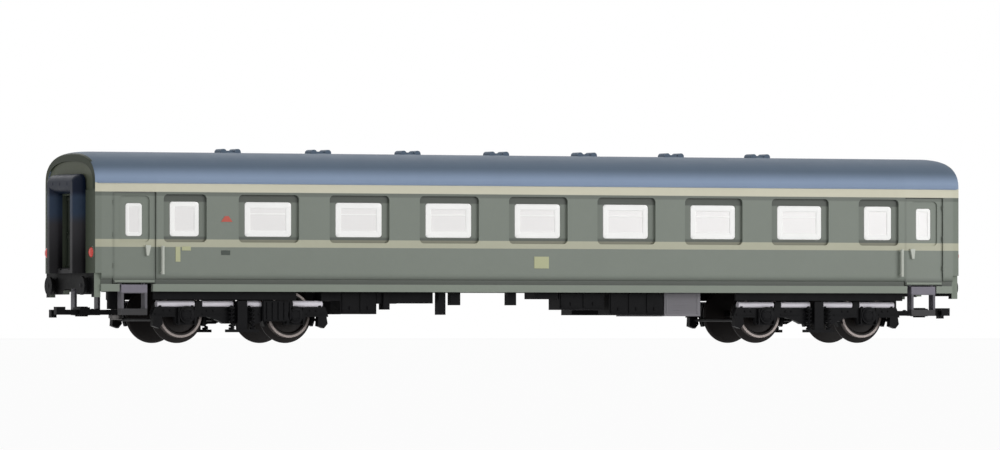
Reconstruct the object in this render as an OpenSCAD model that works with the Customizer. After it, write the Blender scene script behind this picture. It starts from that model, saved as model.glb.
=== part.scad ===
// Passenger coach, a 1:120 scale model: four-axle express coach with seven compartments.
// Millimetres. X runs along the coach, Y across it and Z up. Z = 0 is the lowest point of the
// wheel flanges, and X = Y = 0 is the middle of the body. The front end is at -X, and the left
// side, at -Y, is the side of the seven compartments.

/* [Body] */
// Length of the body over its end walls
body_len = 170.6; // [150:0.2:200]
// Width of the body between its draw-ins
body_w = 23.5; // [21:0.5:26]
// Width of the body at its end walls
end_w = 22.2; // [19:0.1:23]
// Length of each end over which the sides draw in
draw_in = 11.3; // [10.5:0.1:13]
// Height of the side walls
wall_h = 17.6; // [16:0.2:21]
// Thickness of the side walls
wall_t = 1; // [0.8:0.05:1.4]
// Thickness of the end walls
end_t = 1.2; // [0.9:0.1:1.6]
// Height of the foot of the side walls, where they turn under
foot_h = 1.9; // [1.3:0.1:2.4]
// How far the side walls turn under
foot_in = 0.45; // [0.2:0.05:0.55]

/* [Roof] */
// Rise of the roof above the side walls
roof_rise = 5.6; // [4.5:0.05:7]
// Thickness of the roof shell
roof_t = 0.9; // [0.7:0.1:1.2]
// Length of the rounding at each end of the roof
roof_round = 3; // [2:0.5:6]
// Drop of the roof at its very end
roof_drop = 0.6; // [0.2:0.1:2]
// Thickness of the rim of the end walls that covers the roof's edge
end_rim = 0.4; // [0.2:0.1:0.7]
// Length of a roof ventilator
vent_len = 3.9; // [3:0.1:7]
// Width of a roof ventilator
vent_w = 3.4; // [2:0.1:6]
// Height of a roof ventilator above the crown
vent_h = 0.7; // [0.3:0.1:1.2]
// Distance of each ventilator from its window's middle
vent_shift = -2.7; // [-4:0.1:4]

/* [Windows and doors] */
// Number of wide compartment windows on a side
windows = 7; // [5:1:8]
// Distance between the middles of two compartment windows
window_pitch = 17.5; // [16:0.1:18]
// Width of a compartment window
window_w = 11.6; // [9:0.1:13]
// Height of every window in the side walls
window_h = 8.35; // [6:0.05:8.6]
// Height of the window sills above the side wall's lower edge
sill_h = 7.3; // [6:0.05:8.2]
// Corner radius of the windows
window_r = 0.8; // [0.3:0.1:1.5]
// Width of the sunk frame beside each pane
frame_w = 1.3; // [0.4:0.1:1.5]
// Height of the sunk frame over each pane
frame_top = 1.25; // [0.4:0.05:1.4]
// Height of the sunk frame under each pane
frame_low = 1; // [0.3:0.05:1.2]
// Depth of that frame behind the wall's face
frame_in = 0.45; // [0.1:0.05:0.6]
// Width of the narrow window between the last compartment and the door
small_w = 8.2; // [5:0.1:8.6]
// Distance from the last wide window's middle to the narrow window's middle
small_step = 16; // [14:0.1:17]
// Width of an entrance doorway
door_w = 8; // [6:0.1:9.6]
// Height of the rail of side wall left over a doorway
door_head = 1.6; // [1.2:0.1:1.6]
// Depth of the doors behind the side wall's face
door_in = 0.25; // [0.1:0.05:0.4]
// Thickness of an entrance door
door_t = 0.7; // [0.5:0.05:0.75]
// Width of a door window
door_win_w = 5.7; // [4:0.1:6]
// Clearance round doors and glass
fit_gap = 0.1; // [0.05:0.05:0.3]

/* [Gangway] */
// Width over the two upright rubber bulges
gangway_w = 13.7; // [12:0.1:15]
// Radius of the rubber bulges
bulge_r = 1.7; // [1.2:0.1:2]
// How far the bulges stand out of the end wall
bulge_out = 2; // [1:0.1:2.2]
// Height of the gangway from its foot to its top
gangway_h = 17.3; // [15:0.1:18.5]
// Thickness of the gangway door
gangway_door_t = 0.6; // [0.4:0.1:0.9]

/* [Underframe] */
// Thickness of the floor
floor_t = 1.2; // [0.8:0.1:1.6]
// Height of the sole bar strip under each side wall
strip_h = 1.3; // [0.8:0.1:1.9]
// Thickness of the sole bar strip
strip_t = 0.9; // [0.6:0.05:1]
// Drop of the buffer beams below the side walls
beam_drop = 1.8; // [1.2:0.1:2.2]
// Radius of a buffer head
buffer_r = 1.65; // [1.2:0.05:1.8]
// How far a buffer stands out of its beam
buffer_len = 1.1; // [0.6:0.1:3]
// Distance between the two buffers of an end
buffer_pitch = 14.6; // [13:0.1:15.5]
// Height of the buffers' middle above the beam's lower edge
buffer_up = 1.55; // [1.2:0.05:2]

/* [Bogies] */
// Distance between the two bogie pivots
pivot_pitch = 114; // [104:1:118]
// Distance between the two axles of a bogie
wheelbase = 20.8; // [18:0.1:22]
// Length of a bogie frame
frame_len = 33.8; // [30:0.1:34]
// Radius of the wheel treads
tread_r = 4.1; // [3.8:0.05:4.6]
// Height of the wheel flanges
flange_h = 0.9; // [0.5:0.1:1]
// Distance between the backs of two wheels on an axle
back_to_back = 10.3; // [10:0.1:10.6]
// Width of a wheel
wheel_w = 2.1; // [1.8:0.1:2.4]
// Radius of an axle between its wheels
axle_r = 0.75; // [0.5:0.05:1]
// Radius of an axle's journals
journal_r = 0.5; // [0.35:0.05:0.6]
// Radial clearance in the bearings and on the pivots
bearing_gap = 0.05; // [0.02:0.01:0.1]
// Air over the wheel flanges, below the floor
wheel_air = 0.8; // [0.6:0.1:1.5]
// Radius of a bogie pivot pin
pivot_r = 1.5; // [1:0.1:1.8]

/* [Couplers] */
// Distance of the coupler pivots from the end walls
coupler_back = 8.7; // [8:0.1:9.3]
// How far the coupler heads stand out of the end walls
coupler_out = 3.3; // [3:0.1:6]
// Width of a coupler shank
shank_w = 1.8; // [1.2:0.1:2.4]
// Radius of a coupler's pivot pin
coupler_pin_r = 0.8; // [0.5:0.05:1]

/* [Hidden] */
$fn = 48;
eps = 0.01;
side_names = ["left", "right"];

// Heights, from the wheels upwards
flange_r = tread_r + flange_h;
axle_z = flange_r;
deck_z = 2*flange_r + wheel_air;        // underside of the floor
wall_z = deck_z - 0.5;                  // lower edge of the side walls
foot_z = wall_z + foot_h;               // top of the set-back foot, foot of the end walls
eaves_z = wall_z + wall_h;              // top of the side walls
sill_z = wall_z + sill_h;
head_z = sill_z + window_h;
floor_top = deck_z + floor_t;
beam_z = wall_z - beam_drop;            // lower edge of the buffer beams
buffer_z = beam_z + buffer_up;

// Along the coach
half_len = body_len/2;
inner_len = half_len - end_t;           // inner face of the end walls
taper_x = half_len - draw_in;           // where the sides start to draw in
door_x0 = taper_x;
door_x1 = door_x0 + door_w;
small_x = (windows - 1)/2*window_pitch + small_step;
window_xs = [for (i = [0:windows - 1]) (i - (windows - 1)/2)*window_pitch];
pivot_x = pivot_pitch/2;
coupler_x = half_len - coupler_back;

// Half the body's width at a place along it
function half_w(x) = body_w/2 - max(0, abs(x) - taper_x)*(body_w - end_w)/2/draw_in;

// ---------------------------------------------------------------- shapes used again

// Rectangle in X and Z about a middle line, with rounded corners, cut through the wall along Y
module opening(x, z0, w, h, r, y0, y1) {
    translate([x, y1, z0]) rotate([90, 0, 0]) linear_extrude(y1 - y0) union() {
        translate([-w/2 + r, 0]) square([w - 2*r, h]);
        translate([-w/2, r]) square([w, h - 2*r]);
        for (cx = [-w/2 + r, w/2 - r], cz = [r, h - r]) translate([cx, cz]) circle(r, $fn = 24);
    }
}

// A window's cut in the wall: a shallow sunk frame at its full size and a hole for the pane
module window_cut(x, w, z1 = head_z) {
    opening(x, sill_z, w, z1 - sill_z, window_r, -body_w, -half_w(x) + frame_in);
    pane_hole(x, w, -body_w, 0, 0, z1);
}

// The hole for a pane inside the sunk frame, or the pane itself, smaller all round by gap
module pane_hole(x, w, y0, y1, gap, z1 = head_z) {
    opening(x, sill_z + frame_low + gap, w - 2*frame_w - 2*gap, z1 - sill_z - frame_top - frame_low - 2*gap,
        window_r*0.6, y0, y1);
}

// Plan of one side of the body, at -Y: from x0 to x1, between two depths behind the side's face
module side_plan(x0, x1, d0, d1) {
    xs = concat([x0], [for (x = [-taper_x, taper_x]) if (x > x0 && x < x1) x], [x1]);
    n = len(xs);
    polygon(concat(
        [for (i = [0:n - 1]) [xs[i], -half_w(xs[i]) + d0]],
        [for (i = [n - 1:-1:0]) [xs[i], -half_w(xs[i]) + d1]]));
}

// A slab of one side of the body, between two heights
module side_slab(x0, x1, z0, z1, d0, d1) {
    translate([0, 0, z0]) linear_extrude(z1 - z0) side_plan(x0, x1, d0, d1);
}

// The left side wall's skin: one section of it, turned under at its foot, run along the body
turn_h = 1.1;
turn_n = 6;
module side_skin(x0, x1) {
    section = concat(
        [[wall_t, wall_z], [foot_in, wall_z]],
        [for (k = [turn_n:-1:0]) let (a = 90*k/turn_n) [foot_in*(1 - cos(a)), foot_z - turn_h*sin(a)]],
        [[0, eaves_z], [wall_t, eaves_z]]);
    xs = [x0, -taper_x, taper_x, x1];
    m = len(section);
    skin = [for (i = [0:len(xs) - 2], j = [0:m - 1])
        [i*m + j, i*m + (j + 1) % m, (i + 1)*m + (j + 1) % m, (i + 1)*m + j]];
    polyhedron([for (x = xs, p = section) [x, -half_w(x) + p[0], p[1]]], concat(
        [[for (j = [m - 1:-1:0]) j]],
        skin,
        [[for (j = [0:m - 1]) (len(xs) - 1)*m + j]]), convexity = 6);
}

// A copy of what is at -Y for the left side, or its mirror image for the right side
module on_side(side) {
    if (side == 0) children();
    else mirror([0, 1, 0]) children();
}

// A copy of what is at +X for the rear end, or its mirror image for the front end
module on_end(end) {
    if (end == 1) children();
    else mirror([1, 0, 0]) children();
}

// A block from its lowest corner to its highest
module block(a, b) {
    translate(a) cube([b[0] - a[0], b[1] - a[1], b[2] - a[2]]);
}

// Height of the roof's crown above the eaves at a place along the body
function crown(x) = roof_rise - roof_drop*(1 - sqrt(1 - pow(max(0, (abs(x) - half_len + roof_round)/roof_round), 2)));

// One section of the roof: an arch flatter than an ellipse at its crown, closed at z0
arch_n = 36;
arch_power = 2/2.5;
function arch(x, z0, inset) =
    let (w = half_w(x) - inset, h = crown(x) - inset)
    concat(
        z0 < eaves_z ? [[x, w, z0]] : [],
        [for (k = [0:arch_n])
            let (t = 180*k/arch_n, c = cos(t), s = abs(sin(t)))
            [x, w*sign(c)*pow(abs(c), arch_power), eaves_z + h*pow(s, arch_power)]],
        z0 < eaves_z ? [[x, -w, z0]] : []);

// Places along the body where a section is needed, closer together in the end's rounding
function stations(x0, x1) = concat(
    [x0],
    [for (k = [0:8]) let (x = -half_len + roof_round*(1 - cos(90*k/8))) if (x > x0 && x < x1) x],
    [for (x = [-taper_x, taper_x]) if (x > x0 && x < x1) x],
    [for (k = [8:-1:0]) let (x = half_len - roof_round*(1 - cos(90*k/8))) if (x > x0 && x < x1) x],
    [x1]);

// The body's outline above z0 between two places along it, drawn in by inset
module body_form(x0, x1, z0, inset = 0) {
    raw = stations(x0, x1);
    xs = concat([raw[0]], [for (i = [1:len(raw) - 1]) if (raw[i] - raw[i - 1] > 0.001) raw[i]]);
    sections = [for (x = xs) arch(x, z0, inset)];
    m = len(sections[0]);
    n = len(sections);
    points = [for (s = sections) each s];
    skin = [for (i = [0:n - 2], j = [0:m - 1], part = [0:1])
        let (a = i*m + j, b = i*m + (j + 1) % m, c = (i + 1)*m + (j + 1) % m, d = (i + 1)*m + j)
        part == 0 ? [a, c, b] : [a, d, c]];
    polyhedron(points, concat(
        [[for (j = [0:m - 1]) j]],
        skin,
        [[for (j = [m - 1:-1:0]) (n - 1)*m + j]]), convexity = 6);
}

// ---------------------------------------------------------------- body

module roof() {
    x = half_len - end_rim;
    color([0.42, 0.48, 0.55]) difference() {
        body_form(-x, x, eaves_z);
        body_form(-x - end_rim/2, x + end_rim/2, eaves_z - 1, roof_t);
    }
}

// One ventilator: a low rounded hood at each end and a flat bridge between them
module vent() {
    hood = vent_len*0.3;
    z = eaves_z + roof_rise;
    block([-vent_len/2 + hood/2, -vent_w*0.3, z], [vent_len/2 - hood/2, vent_w*0.3, z + vent_h*0.55]);
    for (x = [-vent_len/2 + hood/2, vent_len/2 - hood/2])
        translate([x, 0, z]) intersection() {
            translate([0, 0, vent_h - hood/2]) rotate([90, 0, 0])
                cylinder(r = hood/2, h = vent_w*0.8, center = true, $fn = 32);
            block([-hood, -vent_w, 0], [hood, vent_w, hood]);
        }
}

module roof_vents() {
    color([0.36, 0.4, 0.45]) for (x = window_xs) translate([x + vent_shift, 0, 0]) vent();
}

module side_wall(side) {
    color([0.47, 0.5, 0.46]) on_side(side) difference() {
        side_skin(-inner_len, inner_len);
        for (x = window_xs) window_cut(x, window_w);
        for (x = [-small_x, small_x]) window_cut(x, small_w);
        for (end = [0, 1]) on_end(end)
            block([door_x0, -body_w, wall_z - 1], [door_x1, 0, eaves_z - door_head]);
    }
}
module side_wall_left() { side_wall(0); }
module side_wall_right() { side_wall(1); }

door_z0 = wall_z + 0.15;
door_z1 = eaves_z - door_head - fit_gap;
door_mid = (door_x0 + door_x1)/2;

module entrance_door(side, end) {
    color([0.45, 0.48, 0.44]) on_side(side) on_end(end) difference() {
        side_slab(door_x0 + fit_gap, door_x1 - fit_gap, door_z0, door_z1, door_in, door_in + door_t);
        door_window(-body_w, 0, 0);
        intersection() {
            opening(door_mid, sill_z, door_win_w, door_head_z - sill_z, window_r, -body_w, 0);
            side_slab(door_x0, door_x1, 0, eaves_z, 0, door_in + frame_in/2);
        }
    }
}

// The hole in a door for its pane, or the pane, smaller all round by gap
door_head_z = head_z - 0.3;
module door_window(y0, y1, gap) {
    pane_hole(door_mid, door_win_w, y0, y1, gap, door_head_z);
}
module door_front_left() { entrance_door(0, 0); }
module door_front_right() { entrance_door(1, 0); }
module door_rear_left() { entrance_door(0, 1); }
module door_rear_right() { entrance_door(1, 1); }

// Doorway in the end walls
gap_half = gangway_w/2 - 2*bulge_r;
gap_z0 = foot_z + 0.8;
gap_z1 = foot_z + gangway_h - 2*bulge_r - 0.3;

// The end's arch, drawn in by inset, as a prism between two places along the body
module arch_prism(x0, x1, z0, inset) {
    translate([x0, 0, 0]) rotate([90, 0, 90]) linear_extrude(x1 - x0)
        polygon([for (p = arch(half_len, z0, inset)) [p[1], p[2]]]);
}

panel_in = 0.25;                        // how far the end panel lies behind its arched rim
panel_z = eaves_z - 1.2;                // foot of that sunk panel
module end_wall(end) {
    color([0.3, 0.33, 0.3]) on_end(end) difference() {
        body_form(inner_len, half_len, foot_z);
        difference() {
            block([inner_len - 1, -body_w, eaves_z], [half_len - end_rim, body_w, eaves_z + roof_rise + 1]);
            body_form(inner_len - 2, half_len - end_rim/2, eaves_z - 1, roof_t + 0.02);
        }
        arch_prism(half_len - panel_in, half_len + 1, panel_z, 1.1);
        block([0, -gap_half, gap_z0], [body_len, gap_half, gap_z1]);
    }
}
module end_wall_front() { end_wall(0); }
module end_wall_rear() { end_wall(1); }

// Section of a rubber bulge: rounded at its front, with straight flanks back to the end wall
module bulge_section(x) {
    translate([x, 0]) circle(r = bulge_r);
    translate([half_len - 1, -bulge_r]) square([x - half_len + 1, 2*bulge_r]);
}

// Rubber bulges of the gangway: two uprights and a top, cut flat where two coaches press together
module gangway(end) {
    y = gangway_w/2 - bulge_r;
    z_top = foot_z + gangway_h - bulge_r;
    x = half_len + bulge_out - bulge_r + 0.08;
    color([0.16, 0.16, 0.17]) on_end(end) intersection() {
        union() {
            for (s = [-1, 1]) {
                translate([0, s*y, foot_z]) linear_extrude(z_top - foot_z) bulge_section(x);
                translate([x, s*y, z_top]) sphere(r = bulge_r);
                translate([half_len - 1, s*y, z_top]) rotate([0, 90, 0]) cylinder(r = bulge_r, h = x - half_len + 1);
            }
            translate([0, y, z_top]) rotate([90, 0, 0]) linear_extrude(2*y) bulge_section(x);
            block([half_len - 1, -y, foot_z], [half_len + bulge_out*0.5, y, gap_z0 - 0.05]);
        }
        block([half_len, -gangway_w, 0], [half_len + bulge_out, gangway_w, eaves_z + roof_rise]);
    }
}
module gangway_front() { gangway(0); }
module gangway_rear() { gangway(1); }

pane_w = 2.8;
pane_h = 3.6;
pane_z = gap_z1 - 5.2;

module gangway_door(end) {
    color([0.22, 0.27, 0.2]) on_end(end) difference() {
        block([inner_len, -gap_half + fit_gap, gap_z0 + fit_gap],
              [inner_len + gangway_door_t, gap_half - fit_gap, gap_z1 - fit_gap]);
        block([0, -pane_w/2, pane_z], [body_len, pane_w/2, pane_z + pane_h]);
    }
}
module gangway_door_front() { gangway_door(0); }
module gangway_door_rear() { gangway_door(1); }

// Glass: one sheet behind the wall, with a plug that fills each window up to near its face
glass_t = 0.5;
glass_in = frame_in + 0.1;
module side_glass(side) {
    d0 = wall_t + 0.05;
    reach = small_x + small_w/2 + 0.6;
    color([0.93, 0.93, 0.92]) on_side(side) union() {
        block([-reach, -body_w/2 + d0, sill_z - 0.8], [reach, -body_w/2 + d0 + glass_t, head_z + 0.8]);
        for (x = window_xs)
            pane_hole(x, window_w, -body_w/2 + glass_in, -body_w/2 + d0 + eps, fit_gap/2);
        for (x = [-small_x, small_x])
            pane_hole(x, small_w, -body_w/2 + glass_in, -body_w/2 + d0 + eps, fit_gap/2);
    }
}
module glass_left() { side_glass(0); }
module glass_right() { side_glass(1); }

// Panes in the four entrance doors and the two gangway doors
module door_panes() {
    color([0.93, 0.93, 0.92]) {
        for (side = [0, 1], end = [0, 1]) on_side(side) on_end(end) intersection() {
            side_slab(door_x0, door_x1, door_z0, door_z1, door_in + frame_in/2 + 0.1, door_in + door_t);
            door_window(-body_w, 0, fit_gap/2);
        }
        for (end = [0, 1]) on_end(end)
            block([inner_len + 0.1, -pane_w/2 + fit_gap/2, pane_z + fit_gap/2],
                  [inner_len + gangway_door_t - 0.15, pane_w/2 - fit_gap/2, pane_z + pane_h - fit_gap/2]);
    }
}

// Red tail lamps, two on each end wall
lamp_r = 0.8;
lamp_y = end_w/2 - 1.3;
lamp_z = foot_z + 3.6;
module tail_lamps() {
    color([0.55, 0.15, 0.1]) for (end = [0, 1], s = [-1, 1]) on_end(end)
        translate([half_len, s*lamp_y, lamp_z]) rotate([0, 90, 0]) union() {
            cylinder(r = lamp_r, h = 0.25, $fn = 32);
            cylinder(r = lamp_r*0.72, h = 0.4, $fn = 32);
        }
}

// Upright grab rails beside the doors, each on two short feet
rail_r = 0.28;
rail_stand = 0.3;
module grab_rail(x, z0, z1) {
    y = -half_w(x);
    translate([x, y - rail_stand - rail_r, z0]) cylinder(r = rail_r, h = z1 - z0, $fn = 16);
    for (z = [z0 + 0.3, z1 - 0.3])
        translate([x, y - rail_stand - rail_r, z]) rotate([-90, 0, 0])
            cylinder(r = rail_r*0.8, h = rail_stand + rail_r, $fn = 16);
}
module handrails() {
    color([0.85, 0.85, 0.82]) for (side = [0, 1], end = [0, 1]) on_side(side) on_end(end) {
        grab_rail(door_x0 - 1, foot_z - 0.2, sill_z - 0.65);
    }
}

// Door handles: flat pulls, narrower at their lower end
module door_handles() {
    z = sill_z - 0.55;
    color([0.85, 0.85, 0.82]) for (side = [0, 1], end = [0, 1]) on_side(side) on_end(end)
        translate([door_x0 + 1.5, door_in - max(half_w(door_x0 + 1), half_w(door_x0 + 2)), 0])
            rotate([90, 0, 0]) linear_extrude(0.4) polygon([[-0.5, z], [0.5, z], [0.3, z - 1.8], [-0.1, z - 1.8]]);
}

// ---------------------------------------------------------------- inside

rim = 0.05;
strip_in = 0.2;                         // the sole bars' face behind the walls'
well_half = 17;                         // side members of the floor over each bogie
well_t = 0.45;
well_y = body_w/2 - max(strip_in + strip_t, wall_t) - 2*rim - well_t;
well_z = deck_z - 3.2;
well_cut = 6.7;                         // how much shorter they are behind the front bogie
module floor_pan() {
    inside = wall_t + rim;
    color([0.1, 0.1, 0.11]) difference() {
        union() {
            translate([0, 0, deck_z]) linear_extrude(floor_t) polygon(concat(
                [for (x = [-inner_len, -taper_x, taper_x, inner_len]) [x, -half_w(x) + inside]],
                [for (x = [inner_len, taper_x, -taper_x, -inner_len]) [x, half_w(x) - inside]]));
            for (s = [-1, 1]) {
                for (t = [-1, 1]) block([s*pivot_x - well_half, t > 0 ? well_y : -well_y - well_t, well_z],
                    [s*pivot_x + well_half - (s < 0 ? well_cut : 0), t > 0 ? well_y + well_t : -well_y, deck_z + eps]);
                translate([s*pivot_x, 0, pad_z]) cylinder(r = pivot_r + 1.5, h = deck_z - pad_z + eps);
                translate([s*coupler_x, 0, shank_z1 + seat_gap])
                    cylinder(r = coupler_pin_r + 0.8, h = deck_z - shank_z1 - seat_gap + eps);
            }
        }
        for (s = [-1, 1]) {
            translate([s*pivot_x, 0, pad_z - 1]) cylinder(r = pivot_r + 0.02, h = 3.5);
            translate([s*coupler_x, 0, shank_z1 - 1]) cylinder(r = coupler_pin_r + 0.02, h = 3.5);
        }
    }
}

// Steel weight on the floor
ballast_t = 1.2;
module ballast() {
    color([0.45, 0.45, 0.46]) block([-52, -7, floor_top], [52, 7, floor_top + ballast_t]);
}

// Compartment moulding: a base on the weight, cross walls between the compartments and a
// corridor wall on the right
base_z = floor_top + ballast_t;
base_t = 0.6;
room_half = body_w/2 - wall_t - glass_t - 0.35;
aisle_y = 4;
screen_t = 0.6;
room_x = windows/2*window_pitch;
room_top = eaves_z - 0.4;
module compartments() {
    color([0.8, 0.77, 0.68]) union() {
        block([-room_x - 3, -room_half, base_z], [room_x + 3, room_half, base_z + base_t]);
        for (i = [0:windows])
            translate([(i - windows/2)*window_pitch - screen_t/2, 0, base_z])
                block([0, -room_half, 0], [screen_t, aisle_y + screen_t, room_top - base_z]);
        block([-room_x, aisle_y, base_z], [room_x, aisle_y + screen_t, room_top]);
    }
}

// Two benches in each compartment, back to back against the cross walls
seat_d = 4.6;
module bench() {
    block([0, -room_half + 0.5, base_z + base_t], [seat_d, aisle_y - 0.3, base_z + base_t + 2.6]);
    block([0, -room_half + 0.5, base_z + base_t], [1.2, aisle_y - 0.3, base_z + base_t + 7]);
}
module seats() {
    color([0.45, 0.2, 0.16]) for (x = window_xs, s = [0, 1])
        translate([x, 0, 0]) mirror([s, 0, 0]) translate([-window_pitch/2 + screen_t/2 + 0.05, 0, 0]) bench();
}

// ---------------------------------------------------------------- underframe

// Sole bar strips under the side walls, and short ones under the corners beyond the steps
module sole_bars() {
    x = step_mid - step_w/2 - 1;
    color([0.44, 0.47, 0.44]) for (side = [0, 1]) on_side(side) {
        side_slab(-x, x, wall_z - strip_h, wall_z, strip_in, strip_in + strip_t);
        for (end = [0, 1]) on_end(end)
            side_slab(step_mid + step_w/2 + 0.3, inner_len, wall_z - strip_h, wall_z, strip_in, strip_in + strip_t);
    }
}

// Buffer beam with a hollow for the coupler in its lower edge
hollow_w = 6.2;
hollow_h = 1;
module buffer_beam(end) {
    w = end_w/2 - foot_in;
    color([0.09, 0.09, 0.1]) on_end(end) difference() {
        union() {
            block([inner_len, -w, beam_z], [half_len, w, foot_z]);
            for (s = [-1, 1]) block([inner_len, min(s*w, s*(w - 1.2)), beam_z - 0.5],
                [half_len, max(s*w, s*(w - 1.2)), beam_z + eps]);
        }
        translate([inner_len - 1, 0, 0]) {
            block([0, -hollow_w/2 + hollow_h, 0], [end_t + 2, hollow_w/2 - hollow_h, beam_z + hollow_h]);
            for (s = [-1, 1]) translate([0, s*(hollow_w/2 - hollow_h), beam_z])
                rotate([0, 90, 0]) cylinder(r = hollow_h, h = end_t + 2, $fn = 32);
        }
    }
}
module buffer_beam_front() { buffer_beam(0); }
module buffer_beam_rear() { buffer_beam(1); }

module buffers() {
    color([0.08, 0.08, 0.09]) for (end = [0, 1], s = [-1, 1]) on_end(end)
        translate([half_len, s*buffer_pitch/2, buffer_z]) rotate([0, 90, 0]) union() {
            cylinder(r = buffer_r*0.8, h = buffer_len - 0.4 + eps);
            translate([0, 0, buffer_len - 0.4]) cylinder(r = buffer_r, h = 0.4);
        }
}

// Two treads under each door, hung from the floor between two cheeks
step_w = 4.9;
step_mid = door_mid - 0.05;
step_y0 = body_w/2 - 2.2;
step_y1 = body_w/2 - 0.5;
cheek_t = 0.45;
tread_h = 1.5;
low_tread_h = 1.1;
step_low = wall_z - 5.4;
module entrance_steps() {
    lip = min(half_w(step_mid - step_w/2), half_w(step_mid + step_w/2)) - wall_t - rim;
    color([0.3, 0.29, 0.31]) for (side = [0, 1], end = [0, 1]) on_side(side) on_end(end)
        translate([step_mid - step_w/2, 0, 0]) union() {
            for (x = [0, step_w - cheek_t]) {
                block([x, -step_y1, step_low], [x + cheek_t, -step_y0, wall_z - 0.1]);
                block([x, -lip, wall_z - 0.2], [x + cheek_t, -step_y0, deck_z]);
            }
            block([0, -step_y1, wall_z - 0.1 - tread_h], [step_w, -step_y0, wall_z - 0.1]);
            block([0, -step_y1, step_low], [step_w, -step_y0, step_low + low_tread_h]);
        }
}

// Equipment hung under the floor: each box from x0 to x1 on one side, down to its own depth
gear_y1 = body_w/2 - 2.05;              // outer face of the boxes, clear of the sole bars
gear_y0 = gear_y1 - 4.3;
module gear_box(x0, x1, z, y0 = gear_y0, y1 = gear_y1) {
    block([x0, -y1, z], [x1, -y0, deck_z]);
}

module battery_boxes() {
    color([0.12, 0.12, 0.13]) for (side = [0, 1]) on_side(side) union() {
        gear_box(-37.8, -30.8, deck_z - 5.7);
        gear_box(-41.5, -37.8 + eps, deck_z - 3.4, gear_y0 + 1);
    }
}

module equipment_boxes() {
    color([0.11, 0.11, 0.12]) {
        gear_box(5.1, 14, deck_z - 4.9);
        for (side = [0, 1]) on_side(side) gear_box(15, 25.8, deck_z - 5.8);
    }
}

module converter_boxes() {
    color([0.47, 0.47, 0.48]) for (side = [0, 1]) on_side(side) gear_box(26.1, 33.3, deck_z - 6);
}

// Brake gear: a shallow tray on each side, and on the left a peg and levers that hang down
module brake_gear() {
    color([0.1, 0.1, 0.11]) {
        for (side = [0, 1]) on_side(side) gear_box(-30.7, -19.8, deck_z - 3.8);
        gear_box(-29.6, -28.4, deck_z - 4.9, gear_y1 - 1.6, gear_y1 + 0.4);
        gear_box(-18.7, -17.3, deck_z - 5.8, gear_y1 - 1.5);
        gear_box(-16.2, -14.4, deck_z - 4.1, gear_y1 - 1.5);
        gear_box(-5, -3.4, deck_z - 4.1, gear_y1 - 1.5);
        gear_box(0.3, 4.9, deck_z - 3);
    }
}

// Air reservoir along the middle, on two saddles
tank_r = 1.9;
module air_reservoir() {
    color([0.1, 0.1, 0.11]) union() {
        translate([18, 0, deck_z - tank_r - 0.5]) rotate([0, 90, 0]) cylinder(r = tank_r, h = 15);
        for (x = [20.5, 29]) block([x, -0.8, deck_z - 1.2], [x + 1.4, 0.8, deck_z]);
    }
}

// ---------------------------------------------------------------- bogies

// Frame heights, from the axle
frame_z0 = axle_z - 1.8;
frame_z1 = axle_z + 1.35;
frame_y0 = back_to_back/2 + wheel_w + 1.15;   // inner face of the side frames
frame_t = 1.2;
frame_y1 = frame_y0 + frame_t;
box_out = 0.6;                                // how far the axle boxes stand out of the frames
seat_gap = 0.1;
cross_z0 = axle_z - 0.1;
cross_z1 = frame_z1 + 0.6;
pad_z = cross_z1 + seat_gap;                  // underside of the floor's pivot pads
cross_half = 3.2;

// Outline of a side frame in X and Z about the pivot
module frame_outline() {
    f = frame_len/2;
    a = wheelbase/2;
    zl = axle_z - 0.4;
    polygon([
        [-f, frame_z1 - 1.5], [-f + 0.6, frame_z1], [f - 0.6, frame_z1], [f, frame_z1 - 1.5],
        [f, zl], [a + 2.2, zl], [a + 1.8, frame_z0], [a - 1.8, frame_z0], [a - 2.2, zl],
        [a - 4, zl], [4.4, zl - 0.6], [3.2, frame_z0 + 0.2], [-3.2, frame_z0 + 0.2], [-4.4, zl - 0.6],
        [-a + 4, zl], [-a + 2.2, zl], [-a + 1.8, frame_z0], [-a - 1.8, frame_z0],
        [-a - 2.2, zl], [-f, zl]]);
}

// One bogie's frame about its pivot: two side frames with axle boxes, and the cross beam
module bogie_frame() {
    a = wheelbase/2;
    color([0.09, 0.09, 0.1]) difference() {
        union() {
            for (side = [0, 1]) on_side(side) {
                translate([0, -frame_y0, 0]) rotate([90, 0, 0]) linear_extrude(frame_t) frame_outline();
                for (x = [-a, a]) {
                    translate([x, -frame_y1 + eps, axle_z]) rotate([90, 0, 0])
                        cylinder(r = 1.5, h = box_out + eps);
                    block([x - 1.3, -frame_y1 - box_out*0.6, axle_z - 0.2], [x + 1.3, -frame_y1 + eps, frame_z1]);
                }
                for (x = [-8, 8]) block([x - 0.6, -frame_y1, frame_z1 - eps], [x + 0.6, -frame_y0, frame_z1 + 1.1]);
            }
            block([-cross_half, -frame_y0 - eps, cross_z0], [cross_half, frame_y0 + eps, cross_z1]);
        }
        for (side = [0, 1]) on_side(side) for (x = [-a, a])
            translate([x, -frame_y0 + 1, axle_z]) rotate([90, 0, 0])
                cylinder(r = journal_r + bearing_gap, h = 2.1);
        translate([0, 0, cross_z0 - 1]) cylinder(r = pivot_r + bearing_gap, h = 4);
    }
}

// Swing hangers at the middle of each side: an upright, and a plate under the springs
module bogie_hangers() {
    y = frame_y1 + seat_gap/2;
    color([0.08, 0.08, 0.09]) for (side = [0, 1]) on_side(side) union() {
        block([-0.9, -y - 0.8, axle_z - 2.7], [0.9, -y, well_z - 0.2]);
        block([-3, -y - 1.2, axle_z - 3.1], [3, -y, axle_z - 2.6]);
    }
}

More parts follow.
